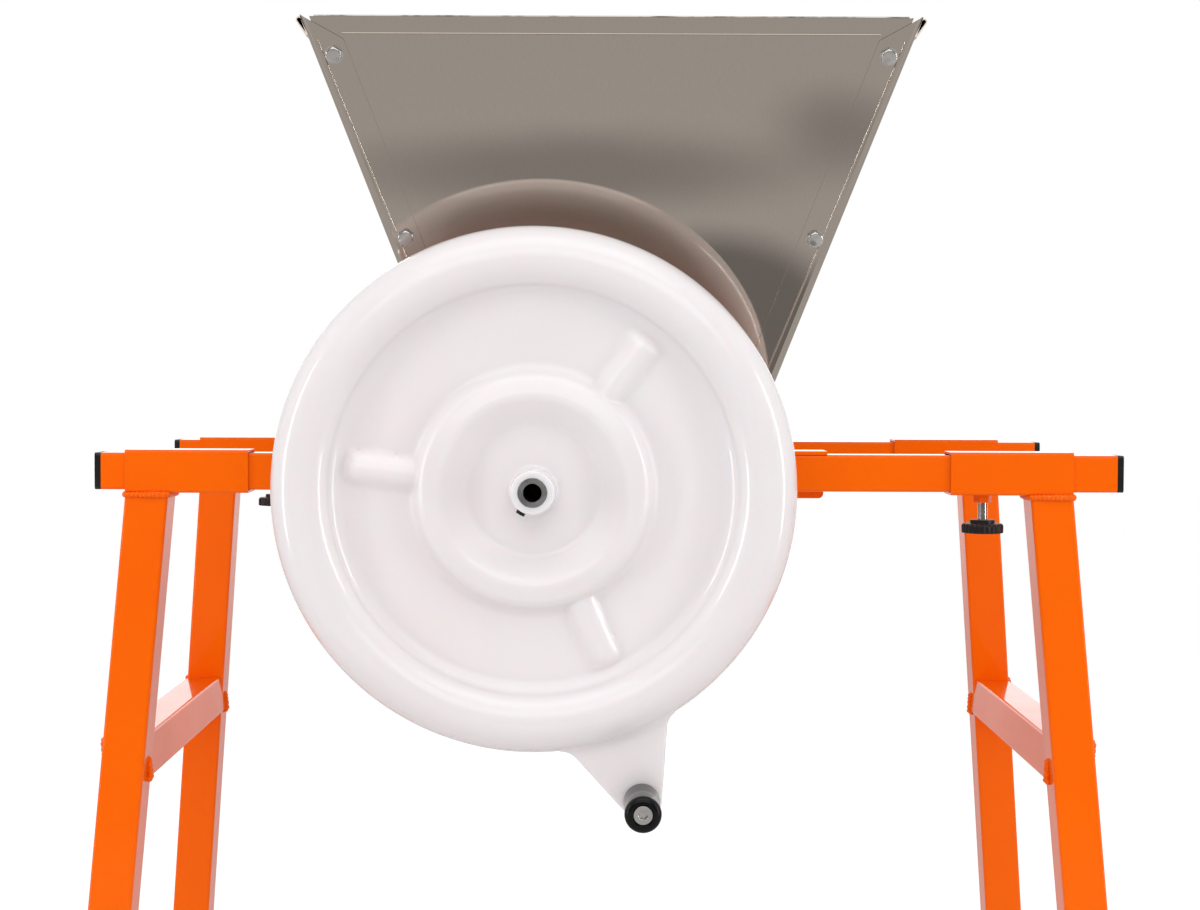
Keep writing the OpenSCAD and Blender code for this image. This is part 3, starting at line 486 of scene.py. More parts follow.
def value_between(tree, factor, first, second, low=0.0, high=1.0, **settings):
    """Socket that goes from first to second as the factor goes from low to high."""
    limits = {"From Min": low, "From Max": high, "To Min": first, "To Max": second}
    return add_node(tree, "ShaderNodeMapRange", {"Value": factor, **limits}, **settings).outputs["Result"]


def colour_between(tree, factor, first, second):
    """Socket of a colour that goes from first to second with the factor."""
    mix = add_node(tree, "ShaderNodeMix", {"Factor": factor}, data_type="RGBA")
    for label, value in (("A", first), ("B", second)):
        socket = next(s for s in mix.inputs if s.name == label and s.type == "RGBA")
        if isinstance(value, bpy.types.NodeSocket):
            tree.links.new(value, socket)
        else:
            socket.default_value = (*value, 1)
    return next(s for s in mix.outputs if s.type == "RGBA")


def calculate(tree, operation, first, second):
    """Socket of a sum with two numbers."""
    return add_node(tree, "ShaderNodeMath", {0: first, 1: second}, operation=operation).outputs[0]


def calculate_vector(tree, operation, first, second):
    """Socket of a sum with two vectors."""
    return add_node(tree, "ShaderNodeVectorMath", {0: first, 1: second}, operation=operation).outputs[0]


def object_place(tree):
    """Socket of the object coordinates."""
    return add_node(tree, "ShaderNodeTexCoord").outputs["Object"]


def noise(tree, place, scale, detail):
    """Socket of a noise."""
    inputs = {"Vector": place, "Scale": scale, "Detail": detail}
    return add_node(tree, "ShaderNodeTexNoise", inputs).outputs["Fac"]


def bump(tree, height, strength, depth):
    """Socket of a normal bumped by a height."""
    inputs = {"Height": height, "Strength": strength, "Distance": depth}
    return add_node(tree, "ShaderNodeBump", inputs).outputs["Normal"]


def shader_group(name, inputs, build):
    """The named group, made at its first use from inputs with defaults and a way to build its value."""
    if name in bpy.data.node_groups:
        return bpy.data.node_groups[name]
    tree = bpy.data.node_groups.new(name, "ShaderNodeTree")
    for label, default in inputs.items():
        kind = "NodeSocketVector" if isinstance(default, tuple) else "NodeSocketFloat"
        tree.interface.new_socket(label, in_out="INPUT", socket_type=kind).default_value = default
    tree.interface.new_socket("Value", in_out="OUTPUT", socket_type="NodeSocketFloat")
    value = build(tree, tree.nodes.new("NodeGroupInput").outputs)
    tree.links.new(value, tree.nodes.new("NodeGroupOutput").inputs["Value"])
    return tree


def use_group(tree, group, **values):
    """Socket of a group placed in a material with its own values."""
    return add_node(tree, "ShaderNodeGroup", values, node_tree=group).outputs["Value"]


def grain(tree, **values):
    """Socket of stretched noise on object coordinates, spread over 0 to 1."""
    low, high = 0.3, 0.7

    def build(inside, given):
        place = calculate_vector(inside, "MULTIPLY", object_place(inside), given["Stretch"])
        marks = noise(inside, place, given["Scale"], given["Detail"])
        return value_between(inside, marks, 0.0, 1.0, low, high)

    group = shader_group("Grain", {"Scale": 50.0, "Stretch": (1, 1, 1), "Detail": 3.0}, build)
    return use_group(tree, group, **values)


def peel(tree, **values):
    """Socket with the height of a sprayed or moulded skin: small dimples over a slow swell."""
    detail = 1.0

    def build(inside, given):
        place = object_place(inside)
        dimples = noise(inside, place, given["Dimples"], detail)
        swell = noise(inside, place, given["Swell"], detail)
        mixed = add_node(inside, "ShaderNodeMix", {"Factor": given["Share"], "A": dimples, "B": swell})
        return mixed.outputs["Result"]

    group = shader_group("Peel", {"Dimples": 700.0, "Swell": 25.0, "Share": 0.4}, build)
    return use_group(tree, group, **values)


def edge_wear_light_and_shade(tree, **values):
    """Socket with a mask of the edges, the edge attribute broken up by noise: plastics and metals paint
    wear there, the orange paint a painted highlight with thinner paint, and the sheet painted shade.
    """
    detail, low, high = 4.0, 0.45, 0.65

    def build(inside, given):
        edge = add_node(inside, "ShaderNodeAttribute", attribute_name="edge").outputs["Fac"]
        marks = noise(inside, object_place(inside), given["Scale"], detail)
        patches = value_between(inside, marks, 0.0, 1.0, low, high)
        return calculate(inside, "MULTIPLY", calculate(inside, "MULTIPLY", edge, patches), given["Amount"])

    return use_group(tree, shader_group("Rub", {"Scale": 90.0, "Amount": 0.5}, build), **values)


def start_material(name, **constants):
    """A material with one Principled BSDF whose sockets hold the given constants."""
    material = bpy.data.materials.new(name)
    material.use_nodes = True
    shader = material.node_tree.nodes["Principled BSDF"]
    for label, value in constants.items():
        shader.inputs[label.replace("_", " ")].default_value = value
    return material, material.node_tree, shader


def shade(tree, shader, **sockets):
    """Joins sockets to the shader's inputs."""
    for label, socket in sockets.items():
        tree.links.new(socket, shader.inputs[label.replace("_", " ")])


def tinted(colour, gain, lift=0.0, most=math.inf):
    """A colour made stronger or weaker, with some grey added."""
    return tuple(min(most, channel * gain + lift) for channel in colour)


# Materials


def paint_material(stand):
    """Orange gloss paint: orange peel, slow change of depth, edges lighter from thinner paint and a painted
    highlight.
    """
    material, tree, shader = start_material(
        "orange_gloss_paint", Specular_IOR_Level=0.05, Coat_Roughness=0.03, Coat_IOR=1.45)
    tilt = add_node(tree, "ShaderNodeLayerWeight", {"Blend": 0.5}).outputs["Facing"]
    depth = grain(tree, Scale=9.0, Detail=2.0)
    skin = peel(tree, Dimples=420.0, Swell=60.0, Share=0.35)
    edges = edge_wear_light_and_shade(tree, Scale=140.0, Amount=0.35)
    body = colour_between(tree, depth, stand.paint_deep, stand.paint)
    # Lighter colour at the edges: thinner paint, together with a painted highlight along them
    thin_paint_and_highlight = tinted(stand.paint, gain=1.1, lift=0.12, most=1.0)
    shade(
        tree, shader,
        Base_Color=colour_between(tree, edges, body, thin_paint_and_highlight),
        Roughness=value_between(tree, depth, 0.4, 0.3),
        Coat_Weight=value_between(tree, tilt, 0.2, 1.0),
        Coat_Normal=bump(tree, skin, strength=0.08, depth=0.2 * MM))
    return material


def sheet_material(hopper):
    """Rolled stainless sheet: fine streaks along the slope, faint clouds, slight waves, and cut edges
    darkened with painted shade.
    """
    material, tree, shader = start_material("stainless_sheet_finish", Metallic=1.0)
    streaks = grain(tree, Scale=160.0, Stretch=(6.0, 6.0, 0.25), Detail=4.0)
    clouds = grain(tree, Scale=7.0, Detail=3.0)
    waves = peel(tree, Dimples=14.0, Swell=4.0, Share=0.6)
    # Mask of the cut edges, where the darker colour below is painted shade along the sheet's creases and
    # steps
    edges = edge_wear_light_and_shade(tree, Scale=60.0, Amount=1.0)
    body = colour_between(tree, streaks, hopper.steel_dark, hopper.steel)
    shade(
        tree, shader,
        Base_Color=colour_between(tree, edges, body, tinted(hopper.steel, gain=0.3)),
        Roughness=value_between(tree, clouds, 0.02, 0.05),
        Normal=bump(tree, waves, strength=0.1, depth=2 * MM))
    return material


def moulding_material(wheel):
    """White moulded plastic: glossy, a little translucent, with the slow swell of a moulded skin."""
    material, tree, shader = start_material(
        "white_moulded_plastic", Subsurface_Weight=0.5, Subsurface_Scale=0.012,
        Subsurface_Radius=(1.0, 0.7, 0.6), Coat_Weight=0.45, Coat_Roughness=0.04, IOR=1.5)
    clouds = grain(tree, Scale=6.0, Detail=3.0)
    skin = peel(tree, Dimples=160.0, Swell=14.0, Share=0.7)
    warmth = (0.985, 0.965, 0.965)
    warm = tuple(c * s for c, s in zip(wheel.colour, warmth))
    shade(
        tree, shader,
        Base_Color=colour_between(tree, clouds, warm, wheel.colour),
        Roughness=value_between(tree, clouds, 0.2, 0.26),
        Normal=bump(tree, skin, strength=0.1, depth=0.5 * MM))
    return material


def plastic_material(name, colour, roughness, grain_scale, grain_depth, specular=0.4):
    """Black or pale plastic with a moulded grain and greyed edges."""
    material, tree, shader = start_material(name, IOR=1.49, Specular_IOR_Level=specular)
    marks = grain(tree, Scale=grain_scale, Detail=3.0)
    clouds = grain(tree, Scale=30.0, Detail=3.0)
    edges = edge_wear_light_and_shade(tree, Scale=160.0, Amount=0.5)
    rough_share = 1.4
    body = colour_between(tree, clouds, colour, tinted(colour, gain=1.5, lift=0.002))
    shade(
        tree, shader,
        Base_Color=colour_between(tree, edges, body, tinted(colour, gain=2.0, lift=0.03)),
        Roughness=value_between(tree, clouds, roughness, rough_share * roughness),
        Normal=bump(tree, marks, strength=0.3, depth=grain_depth))
    return material


def metal_material(
        name, colour, roughness, spread=0.15, stretch=(1, 1, 1), scale=300.0, metallic=1.0,
        grain_depth=0.02 * MM):
    """Bare or plated metal: mottled, with tool marks along one way."""
    material, tree, shader = start_material(name, Metallic=metallic)
    marks = grain(tree, Scale=scale, Stretch=stretch, Detail=4.0)
    clouds = grain(tree, Scale=45.0, Detail=3.0)
    edges = edge_wear_light_and_shade(tree, Scale=250.0, Amount=0.6)
    body = colour_between(tree, clouds, tinted(colour, gain=0.8), colour)
    shade(
        tree, shader,
        Base_Color=colour_between(tree, edges, body, tinted(colour, gain=1.25, most=1.0)),
        Roughness=value_between(tree, marks, roughness, roughness + spread),
        Normal=bump(tree, marks, strength=0.2, depth=grain_depth))
    return material


MATERIALS = {}


def make_materials(scene):
    """One material for each slot of the record."""
    stand, hopper, wheel = scene.crusher_stand, scene.crusher_hopper, scene.crusher_wheel
    plastic = tuple(stand.plastic)
    zinc = tuple(hopper.zinc)
    along_roller, round_shaft = (6.0, 0.2, 6.0), (0.6, 9.0, 0.6)
    MATERIALS.update({
        "orange_paint": paint_material(stand),
        "stainless_sheet": sheet_material(hopper),
        "white_moulding": moulding_material(wheel),
        "black_plastic": plastic_material("black_moulded_plastic", plastic, 0.3, 900.0, 0.03 * MM),
        "grip_plastic": plastic_material(
            "grip_black_plastic", (0.003, 0.003, 0.0033), 0.08, 500.0, 0.004 * MM, specular=0.2),
        "zinc_fasteners": metal_material("zinc_plate", zinc, 0.1, spread=0.05, grain_depth=0.001 * MM),
        "black_oxide": metal_material("black_oxide_steel", (0.03, 0.03, 0.033), 0.35, metallic=0.7),
        "roller_aluminium": metal_material(
            "roller_cast_aluminium", (0.62, 0.62, 0.61), 0.32, stretch=along_roller, scale=150.0),
        "bush_nylon": plastic_material("bush_natural_nylon", (0.62, 0.58, 0.5), 0.42, 700.0, 0.04 * MM),
        "gear_iron": metal_material("gear_cast_iron", (0.2, 0.19, 0.18), 0.42, scale=220.0),
        "shaft_steel": metal_material(
            "shaft_bright_steel", (0.56, 0.55, 0.53), 0.22, stretch=round_shaft, scale=160.0),
    })


# Flywheel


def wheel_outline(wheel, hub_rear):
    """Closed outline (radius, reach to the front) of the flywheel's section, fine enough for the ribs."""
    crest = wheel.rim_radius - wheel.rim_half - wheel.rim_half * math.tan(wheel.dish_slope / 2)
    dish = crest - (wheel.rim_half - wheel.web_half) / math.tan(wheel.dish_slope)
    hub_fillet, hub_round, hub_draft = 3 * MM, 1.5 * MM, 1 * MM
    ring_round, ring_foot, ring_draft, ring_lean = 10 * MM, 8 * MM, 2 * MM, 5 * MM
    round_steps, longest = 12, 2.5 * MM

    def face(hub_reach):
        return [
            (wheel.bore_radius, hub_reach, 0), (wheel.hub_radius, hub_reach, hub_round),
            (wheel.hub_radius + hub_draft, wheel.web_half, hub_fillet),
            (wheel.recess_radius, wheel.web_half, ring_round),
            (wheel.ring_inner, wheel.ring_half, ring_round),
            (wheel.ring_outer - ring_lean, wheel.ring_half - wheel.ring_fall, ring_round),
            (wheel.ring_outer + ring_draft, wheel.web_half, ring_foot),
            (dish, wheel.web_half, wheel.dish_blend), (crest, wheel.rim_half, wheel.rim_half),
            (wheel.rim_radius, wheel.rim_half, wheel.rim_half - TINY)
        ]

    rear = [(radius, -reach, round_off) for radius, reach, round_off in reversed(face(hub_rear))]
    return evenly(rounded(face(wheel.hub_front) + rear, round_steps), longest)


def rib_height(wheel, radius, turn):
    """Height of the ribs above the web at a place on the wheel."""
    apart = 2 * math.pi / wheel.rib_count
    off = (turn - wheel.rib_turn + apart / 2) % apart - apart / 2
    across = abs(radius * math.sin(off)) / wheel.rib_half_width
    if across >= 1:
        return 0
    die_away = 11 * MM
    left = 1 - smoothstep(radius, wheel.rib_end - die_away, wheel.rib_end)
    return wheel.rib_height * (1 - across * across) * left


def raise_ribs(piece, wheel, centre):
    """Lifts the web's vertices into ribs on both faces."""
    blend, overlap = 3 * MM, 4 * MM
    inner, outer = wheel.ring_outer - overlap, wheel.rib_end
    for vertex in piece.data.vertices:
        place = vertex.co - centre
        radius = math.hypot(place.x, place.z)
        if not inner < radius < outer:
            continue
        height = rib_height(wheel, radius, math.atan2(place.z, place.x))
        if height > 0:
            reach = smooth_max(abs(place.y), wheel.web_half + height, blend * height / wheel.rib_height)
            vertex.co.y = centre.y + math.copysign(reach, place.y)


def lug_outline(wheel, crank):
    """Closed outline (out along the crank, across) of the lug, blended into the rim."""
    slope, tip, blend = wheel.lug_slope, wheel.lug_tip, wheel.lug_blend
    arc_steps, root_share = 10, 0.8
    reach = crank * math.sin(slope) + tip
    root = wheel.rim_radius - root_share * wheel.rim_half
    turn = math.asin((reach + blend) / (wheel.rim_radius + blend)) - slope
    blend_at = (wheel.rim_radius + blend) * Vector((math.cos(turn), math.sin(turn)))
    side = math.pi / 2 - slope
    tip_turns = [-side + 2 * side * i / (2 * arc_steps) for i in range(2 * arc_steps + 1)]
    tip_arc = [Vector((crank + tip * math.cos(a), tip * math.sin(a))) for a in tip_turns]
    first = -math.pi / 2 - slope
    sweep = half_turn(turn - math.pi - first)
    blend_turns = [first + sweep * i / arc_steps for i in range(arc_steps + 1)]
    blend_arc = [blend_at + blend * Vector((math.cos(a), math.sin(a))) for a in blend_turns]
    far_side = blend_arc + [blend_arc[-1].normalized() * root]
    near_side = [Vector((p.x, -p.y)) for p in reversed(far_side)]
    return tip_arc + far_side + near_side


def fillet_root(lug, wheel, centre):
    """Swells the lug's faces towards the rim, in a round fillet that touches both."""
    fillet, core = wheel.lug_fillet, wheel.rim_radius - wheel.rim_half
    rise = wheel.lug_half + fillet
    run = math.sqrt((wheel.rim_half + fillet) ** 2 - rise ** 2)
    face_end = core + run
    rim_end = core + run * wheel.rim_half / (wheel.rim_half + fillet)
    for vertex in lug.data.vertices:
        place = vertex.co - centre
        into = face_end - max(math.hypot(place.x, place.z), rim_end)
        if into > 0:
            swell = (rise - math.sqrt(fillet ** 2 - into ** 2)) / wheel.lug_half
            vertex.co.y = centre.y + place.y * swell


def make_lug(wheel, centre, handle):
    """The crank lug: its outline filled, extruded, rounded and filleted into the rim."""
    arm = Vector((handle.x - centre.x, 0, handle.z - centre.z))
    out, across = arm.normalized(), Vector((-arm.z, 0, arm.x)).normalized()
    points = [
        centre + out * p.x + across * p.y + Vector((0, wheel.lug_half, 0))
        for p in lug_outline(wheel, arm.length)
    ]
    edge_steps, edge_degrees, fine = 5, 60, 1.5 * MM
    lug = start_outline("crank_lug", points)
    with editing(lug):
        bpy.ops.mesh.edge_face_add()
        bpy.ops.mesh.extrude_region_move(TRANSFORM_OT_translate={"value": (0, -2 * wheel.lug_half, 0)})
        clean_shell()
    bevel(lug, wheel.lug_edge, edge_steps, edge_degrees)
    apply_modifier(lug, "REMESH", mode="VOXEL", voxel_size=fine)
    fillet_root(lug, wheel, centre)
    return lug


class CRUSHER_OT_flywheel(bpy.types.Operator):
    """Model the moulded flywheel with its dish, ring, ribs, hub and crank lug"""

    bl_idname = "crusher.flywheel"
    bl_label = "Flywheel"

    def execute(self, context):
        wheel = context.scene.crusher_wheel
        low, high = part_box("flywheel")
        shaft = middle("drive_shaft")
        centre = Vector((shaft.x, low.y + wheel.hub_front, shaft.z))
        outline = wheel_outline(wheel, high.y - centre.y)
        points = [centre + Vector((p.x, -p.y, 0)) for p in outline]
        piece = turned("flywheel_moulding", points, centre, (0, 1, 0), wheel.steps)
        if wheel.rib_count:
            raise_ribs(piece, wheel, centre)
        combine(piece, make_lug(wheel, centre, middle("handle_grip")), "UNION")
        smooth(piece)
        settle(piece, "crank", "white_moulding", ["flywheel"])
        return {"FINISHED"}


class CRUSHER_OT_handle(bpy.types.Operator):
    """Turn the handle's grip and dress its bolt and nut"""

    bl_idname = "crusher.handle"
    bl_label = "Handle"

    def execute(self, context):
        handle = context.scene.crusher_handle
        low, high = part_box("handle_grip")
        axis = middle("handle_grip")
        radius, length = (high.x - low.x) / 2, high.y - low.y
        heel_in, heel_rise, heel_round, waist_round, lip = 1 * MM, 4 * MM, 3 * MM, 60 * MM, 0.5 * MM
        round_steps, steps, fastener_round = 10, 96, 0.25 * MM
        outline = rounded([
            (handle.bore_radius, 0, 0), (radius - heel_in, 0, heel_in), (radius, heel_rise, heel_round),
            (radius - handle.waist, length / 2, waist_round), (radius, length, handle.shoulder),
            (handle.hole_radius, length, lip), (handle.hole_radius, length - handle.hole_depth, 0),
            (handle.bore_radius, length - handle.hole_depth, 0)
        ], round_steps)
        points = [Vector((axis.x + p.x, high.y - p.y, axis.z)) for p in outline]
        piece = turned("handle_grip_turned", points, axis, (0, 1, 0), steps)
        smooth(piece)
        settle(piece, "grip", "grip_plastic", ["handle_grip"])
        soften_nodes(HANDLE_FASTENERS, fastener_round)
        return {"FINISHED"}


# Hopper and stand


def hem_edge(node):
    """Ends of the lower edge of a panel's hem: the outermost long level edge near its top."""
    mesh = frame["nodes"][node].data
    low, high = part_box(node)
    half_way = (low.z + high.z) / 2
    out = math.copysign(1, middle(node).y - middle("hopper_left_panel").y)
    top_room = 5 * MM
    edges = []
    for edge in mesh.edges:
        start, end = (mesh.vertices[i].co for i in edge.vertices)
        run = end - start
        near_top = half_way < start.z < high.z - top_room
        if near_top and abs(run.x) > (high.x - low.x) / 2 and math.hypot(run.y, run.z) < 10 * TINY:
            edges.append((start.copy(), end.copy()))
    return max(edges, key=lambda ends: out * ends[0].y)


def lap_line(node, inset):
    """Ends of a line along a side panel's front lap, so far in from its folded edge."""
    steep, end_share, flat, first, last = 0.7, 0.15, 0.05 * MM, 0.05, 0.92
    shape = merged_shape(node)
    faces = [f for f in shape.faces if f.normal.y < -steep and f.normal.z < 0]
    lap = max(faces, key=lambda f: f.calc_area())
    normal, place = lap.normal.copy(), lap.verts[0].co.copy()
    corners = [v.co.copy() for f in faces for v in f.verts if abs(normal.dot(v.co - place)) < flat]
    shape.free()
    out = math.copysign(1, middle(node).x - middle("hopper_front_panel").x)
    low, high = min(p.z for p in corners), max(p.z for p in corners)
    room = end_share * (high - low)
    top = max((p for p in corners if p.z > high - room), key=lambda p: out * p.x)
    foot = max((p for p in corners if p.z < low + room), key=lambda p: out * p.x)
    inward = normal.cross(foot - top).normalized()
    inward *= -math.copysign(1, out * inward.x)
    return top.lerp(foot, first) + inward * inset, top.lerp(foot, last) + inward * inset


def burnished_lip(name, ends, radius, body):
    """A thin round lip between two points of the sheet."""
    start, end = ends
    turn = (end - start).to_track_quat("Z", "Y").to_euler()
    deselect_all()
    bpy.ops.mesh.primitive_cylinder_add(
        vertices=16, radius=radius, depth=(end - start).length, location=(start + end) / 2, rotation=turn)
    lip = bpy.context.object
    bpy.ops.object.transform_apply(location=True, rotation=True)
    rename(lip, name)
    smooth(lip)
    settle(lip, body, "stainless_sheet")


class CRUSHER_OT_hopper(bpy.types.Operator):
    """Dress the folded hopper panels in rolled stainless sheet, with burnished lips on hems and laps"""

    bl_idname = "crusher.hopper"
    bl_label = "Hopper"

    def execute(self, context):
        hopper = context.scene.crusher_hopper
        front, rear, left, right = (f"hopper_{side}_panel" for side in ("front", "rear", "left", "right"))
        soften_nodes((front, rear, left, right), hopper.sheet_round, hopper.flat_area)
        for node in (front, rear):
            burnished_lip(node + "_hem_lip", hem_edge(node), hopper.hem_lip, body_of(node))
        for node in (left, right):
            ends = lap_line(node, hopper.lap_inset)
            burnished_lip(node + "_lap_lip", ends, hopper.lap_lip, body_of(node))
        return {"FINISHED"}


class CRUSHER_OT_stand(bpy.types.Operator):
    """Dress the painted chassis, arms, sleeves, legs and rails"""

    bl_idname = "crusher.stand"
    bl_label = "Stand"

    def execute(self, context):
        soften_nodes(nodes_in(["orange_paint"]), context.scene.crusher_stand.edge_round)
        return {"FINISHED"}


class CRUSHER_OT_trim(bpy.types.Operator):
    """Dress end plugs and foot caps"""

    bl_idname = "crusher.trim"
    bl_label = "Plastic trim"

    def execute(self, context):
        soften_nodes(nodes_in(["black_plastic"], KNOBS), context.scene.crusher_stand.plastic_round)
        return {"FINISHED"}


class CRUSHER_OT_knobs(bpy.types.Operator):
    """Turn the clamp knobs and flute their edges"""

    bl_idname = "crusher.knobs"
    bl_label = "Clamp knobs"

    def execute(self, context):
        stand = context.scene.crusher_stand
        round_steps, steps_per_flute, edge_share = 6, 8, 0.8
        rim_round, top_round, neck_round = 1.2 * MM, 2.5 * MM, 0.5 * MM
        for node in KNOBS:
            axis = middle(node.replace("knob", "screw"))
            low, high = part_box(node)
            corners = [v.co - axis for v in frame["nodes"][node].data.vertices]
            radius = max(math.hypot(c.x, c.y) for c in corners)
            neck = stand.knob_neck_share * radius
            shoulder = high.z - stand.knob_neck
            outline = rounded([
                (0, low.z, 0), (radius, low.z, rim_round), (radius, shoulder, top_round),
                (neck, shoulder, neck_round), (neck, high.z, neck_round), (0, high.z, 0)
            ], round_steps)
            points = [Vector((axis.x + p.x, axis.y, p.y)) for p in outline]
            piece = turned(node + "_turned", points, axis, (0, 0, 1), steps_per_flute * stand.knob_flutes)
            for vertex in piece.data.vertices:
                away = Vector((vertex.co.x - axis.x, vertex.co.y - axis.y))
                if away.length > edge_share * radius:
                    wave = (1 - math.cos(stand.knob_flutes * math.atan2(away.y, away.x))) / 2
                    away *= 1 - wave * stand.flute_depth / away.length
                    vertex.co.x, vertex.co.y = axis.x + away.x, axis.y + away.y
            smooth(piece, degrees=50)
            settle(piece, body_of(node), "black_plastic", [node])
        return {"FINISHED"}


def islands(shape):
    """Groups of joined faces of a bmesh."""
    left = set(shape.faces)
    while left:
        group, reached = set(), [left.pop()]
        while reached:
            face = reached.pop()
            group.add(face)
            near = {f for e in face.edges for f in e.link_faces} & left
            left -= near
            reached += near
        yield group


def largest_faces(node):
    """Centre, normal and length of a side of the largest flat face of each solid of a node."""
    shape = merged_shape(node)
    tops = [max(group, key=lambda f: f.calc_area()) for group in islands(shape)]
    places = [(f.calc_center_median(), f.normal.copy(), f.edges[0].calc_length()) for f in tops]
    shape.free()
    return places


def hex_head(across, height):
    """A hex head with a washer face on the origin, its top along +Z: a prism cut by a cone."""
    flange_share, flange_height, top_share, edge_share = 1.06, 0.12, 0.44, 0.03
    cone_degrees, edge_degrees, steps = 30, 25, 48
    corner = across / math.sqrt(3)
    flange, flange_edge, top = flange_share * corner, flange_height * height, top_share * across
    deselect_all()
    bpy.ops.mesh.primitive_cylinder_add(
        vertices=6, radius=corner, depth=height, location=(0, 0, height / 2), rotation=(0, 0, 0))
    head = bpy.context.object
    bpy.ops.object.transform_apply(location=True)
    wide = 2 * corner
    cone_foot = height - (wide - top) * math.tan(math.radians(cone_degrees))
    cone = [(0, -flange_edge), (wide, -flange_edge), (wide, 0)]
    cone += [(wide, cone_foot), (top, height), (0, height)]
    skirt = [(0, 0), (flange, 0), (flange, flange_edge), (0, flange_edge)]
    cutter, disc = (
        turned(name, [Vector((x, 0, z)) for x, z in profile], (0, 0, 0), (0, 0, 1), steps)
        for name, profile in (("cutter", cone), ("flange", skirt))
    )
    combine(head, cutter, "INTERSECT")
    bevel(head, edge_share * across, 2, edge_degrees)
    return join([head, disc], "hex_head")


def shrink_heads(piece, tops, height):
    """Draws the plain heads in until the dressed ones cover them."""
    core_share, near_share, sink = 0.6, 1.1, 0.4 * MM
    for vertex in piece.data.vertices:
        for centre, normal, corner in tops:
            offset = vertex.co - centre
            depth = -offset.dot(normal)
            away = offset + normal * depth
            if depth < height + sink and away.length < near_share * corner:
                away *= min(1, core_share * corner / max(away.length, TINY))
                vertex.co = centre + away - normal * max(depth, sink)
                break


def bolt_heads(tops, height):
    """Hex heads in place of a node's plain ones, whose tops are given."""
    heads = []
    side = tops[0][2]
    model = hex_head(HEAD_SHARE * math.sqrt(3) * side, height)
    for centre, normal, side in tops:
        head = add_object("head", model.data.copy())
        turn = normal.to_track_quat("Z", "Y").to_matrix().to_4x4()
        head.data.transform(Matrix.Translation(centre - normal * height) @ turn)
        heads.append(head)
    bpy.data.objects.remove(model)
    return heads


class CRUSHER_OT_fasteners(bpy.types.Operator):
    """Model the hopper's hex bolts and dress the other bolts, nuts, screws and pins"""

    bl_idname = "crusher.fasteners"
    bl_label = "Fasteners"

    def execute(self, context):
        hopper = context.scene.crusher_hopper
        edge_round = 0.4 * MM
        heads = {"hopper_corner_bolts": hopper.corner_head, "hopper_base_bolts": hopper.base_head}
        for node, height in heads.items():
            tops = largest_faces(node)
            shanks = softened(node, 0)
            shrink_heads(shanks, tops, height)
            piece = join([shanks] + bolt_heads(tops, height), node + "_finish")
            smooth(piece, degrees=30)
            settle(piece, body_of(node), "zinc_fasteners", [node])
        soften_nodes(nodes_in(["zinc_fasteners", "black_oxide"], (*heads, *HANDLE_FASTENERS)), edge_round)
        return {"FINISHED"}


def outer_loop(points, u, v):
    """Convex loop of the points seen along the third axis, in order."""
    ordered = sorted(points, key=lambda p: (p[u], p[v]))

    def chain(run):
        kept = []
        for p in run:
            while len(kept) > 1:
                a, b = kept[-2], kept[-1]
                if (b[u] - a[u]) * (p[v] - a[v]) - (b[v] - a[v]) * (p[u] - a[u]) > 0:
                    break
                kept.pop()
            kept.append(p)
        return kept[:-1]

    return chain(ordered) + chain(ordered[::-1])


def end_loop(node, axis, end, depth, draw):
    """Outer loop of the vertices within a depth of a tube's far (1) or near (-1) end, drawn back."""
    points = [v.co.copy() for v in frame["nodes"][node].data.vertices]
    limit = max(end * p[axis] for p in points) - depth
    u, v = [a for a in range(3) if a != axis]
    back = Vector()
    back[axis] = -end * draw
    return [p + back for p in outer_loop([p for p in points if end * p[axis] > limit], u, v)]


def weld_bead(loop, stand):
    """A rippled bead along a closed loop."""
    steps_per_ripple, stand_off, wander_pitch = 6, 0.1, 2.3
    core, ripple_share, wander_share = 0.72, 0.22, 0.1
    middle_point = sum(loop, Vector()) / len(loop)
    spaced = evenly(loop, stand.bead_pitch / steps_per_ripple)
    points = [p + (p - middle_point).normalized() * stand_off * stand.bead_radius for p in spaced]
    start_outline("bead", points)
    bpy.ops.object.convert(target="CURVE")
    curve = bpy.context.object.data
    curve.bevel_depth = stand.bead_radius
    curve.bevel_resolution = 2
    walked = 0.0
    for i, point in enumerate(curve.splines[0].points):
        ripple = abs(math.sin(math.pi * walked / stand.bead_pitch))
        wander = math.sin(walked / (wander_pitch * stand.bead_pitch))
        point.radius = core + ripple_share * ripple + wander_share * wander
        following = points[(i + 1) % len(points)]
        walked += (following - points[i % len(points)]).length
    bpy.ops.object.convert(target="MESH")
    bead = bpy.context.object
    smooth(bead, degrees=70)
    return bead


class CRUSHER_OT_welds(bpy.types.Operator):
    """Lay rippled weld beads round the legs' tops and the cross rails' ends"""

    bl_idname = "crusher.welds"
    bl_label = "Weld beads"

    def execute(self, context):
        stand = context.scene.crusher_stand
        top_depth, end_depth, draw = 0.5 * MM, 3 * MM, stand.bead_radius / 2
        for side in ("left", "right"):
            ends = [(f"{side}_{place}_leg", 2, 1, top_depth) for place in ("front", "rear")]
            ends += [(f"{side}_cross_rail", 1, end, end_depth) for end in (-1, 1)]
            piece = join([weld_bead(end_loop(*end, draw), stand) for end in ends], f"{side}_weld_beads")
            settle(piece, body_of(f"{side}_front_leg"), "orange_paint")
        return {"FINISHED"}


class CRUSHER_OT_works(bpy.types.Operator):
    """Dress the rollers, gears, shafts and bushes"""

    bl_idname = "crusher.works"
    bl_label = "Works"

    def execute(self, context):
        edge_round = 0.3 * MM
        soften_nodes(nodes_in(["roller_aluminium", "bush_nylon", "gear_iron", "shaft_steel"]), edge_round)
        return {"FINISHED"}


# Stage


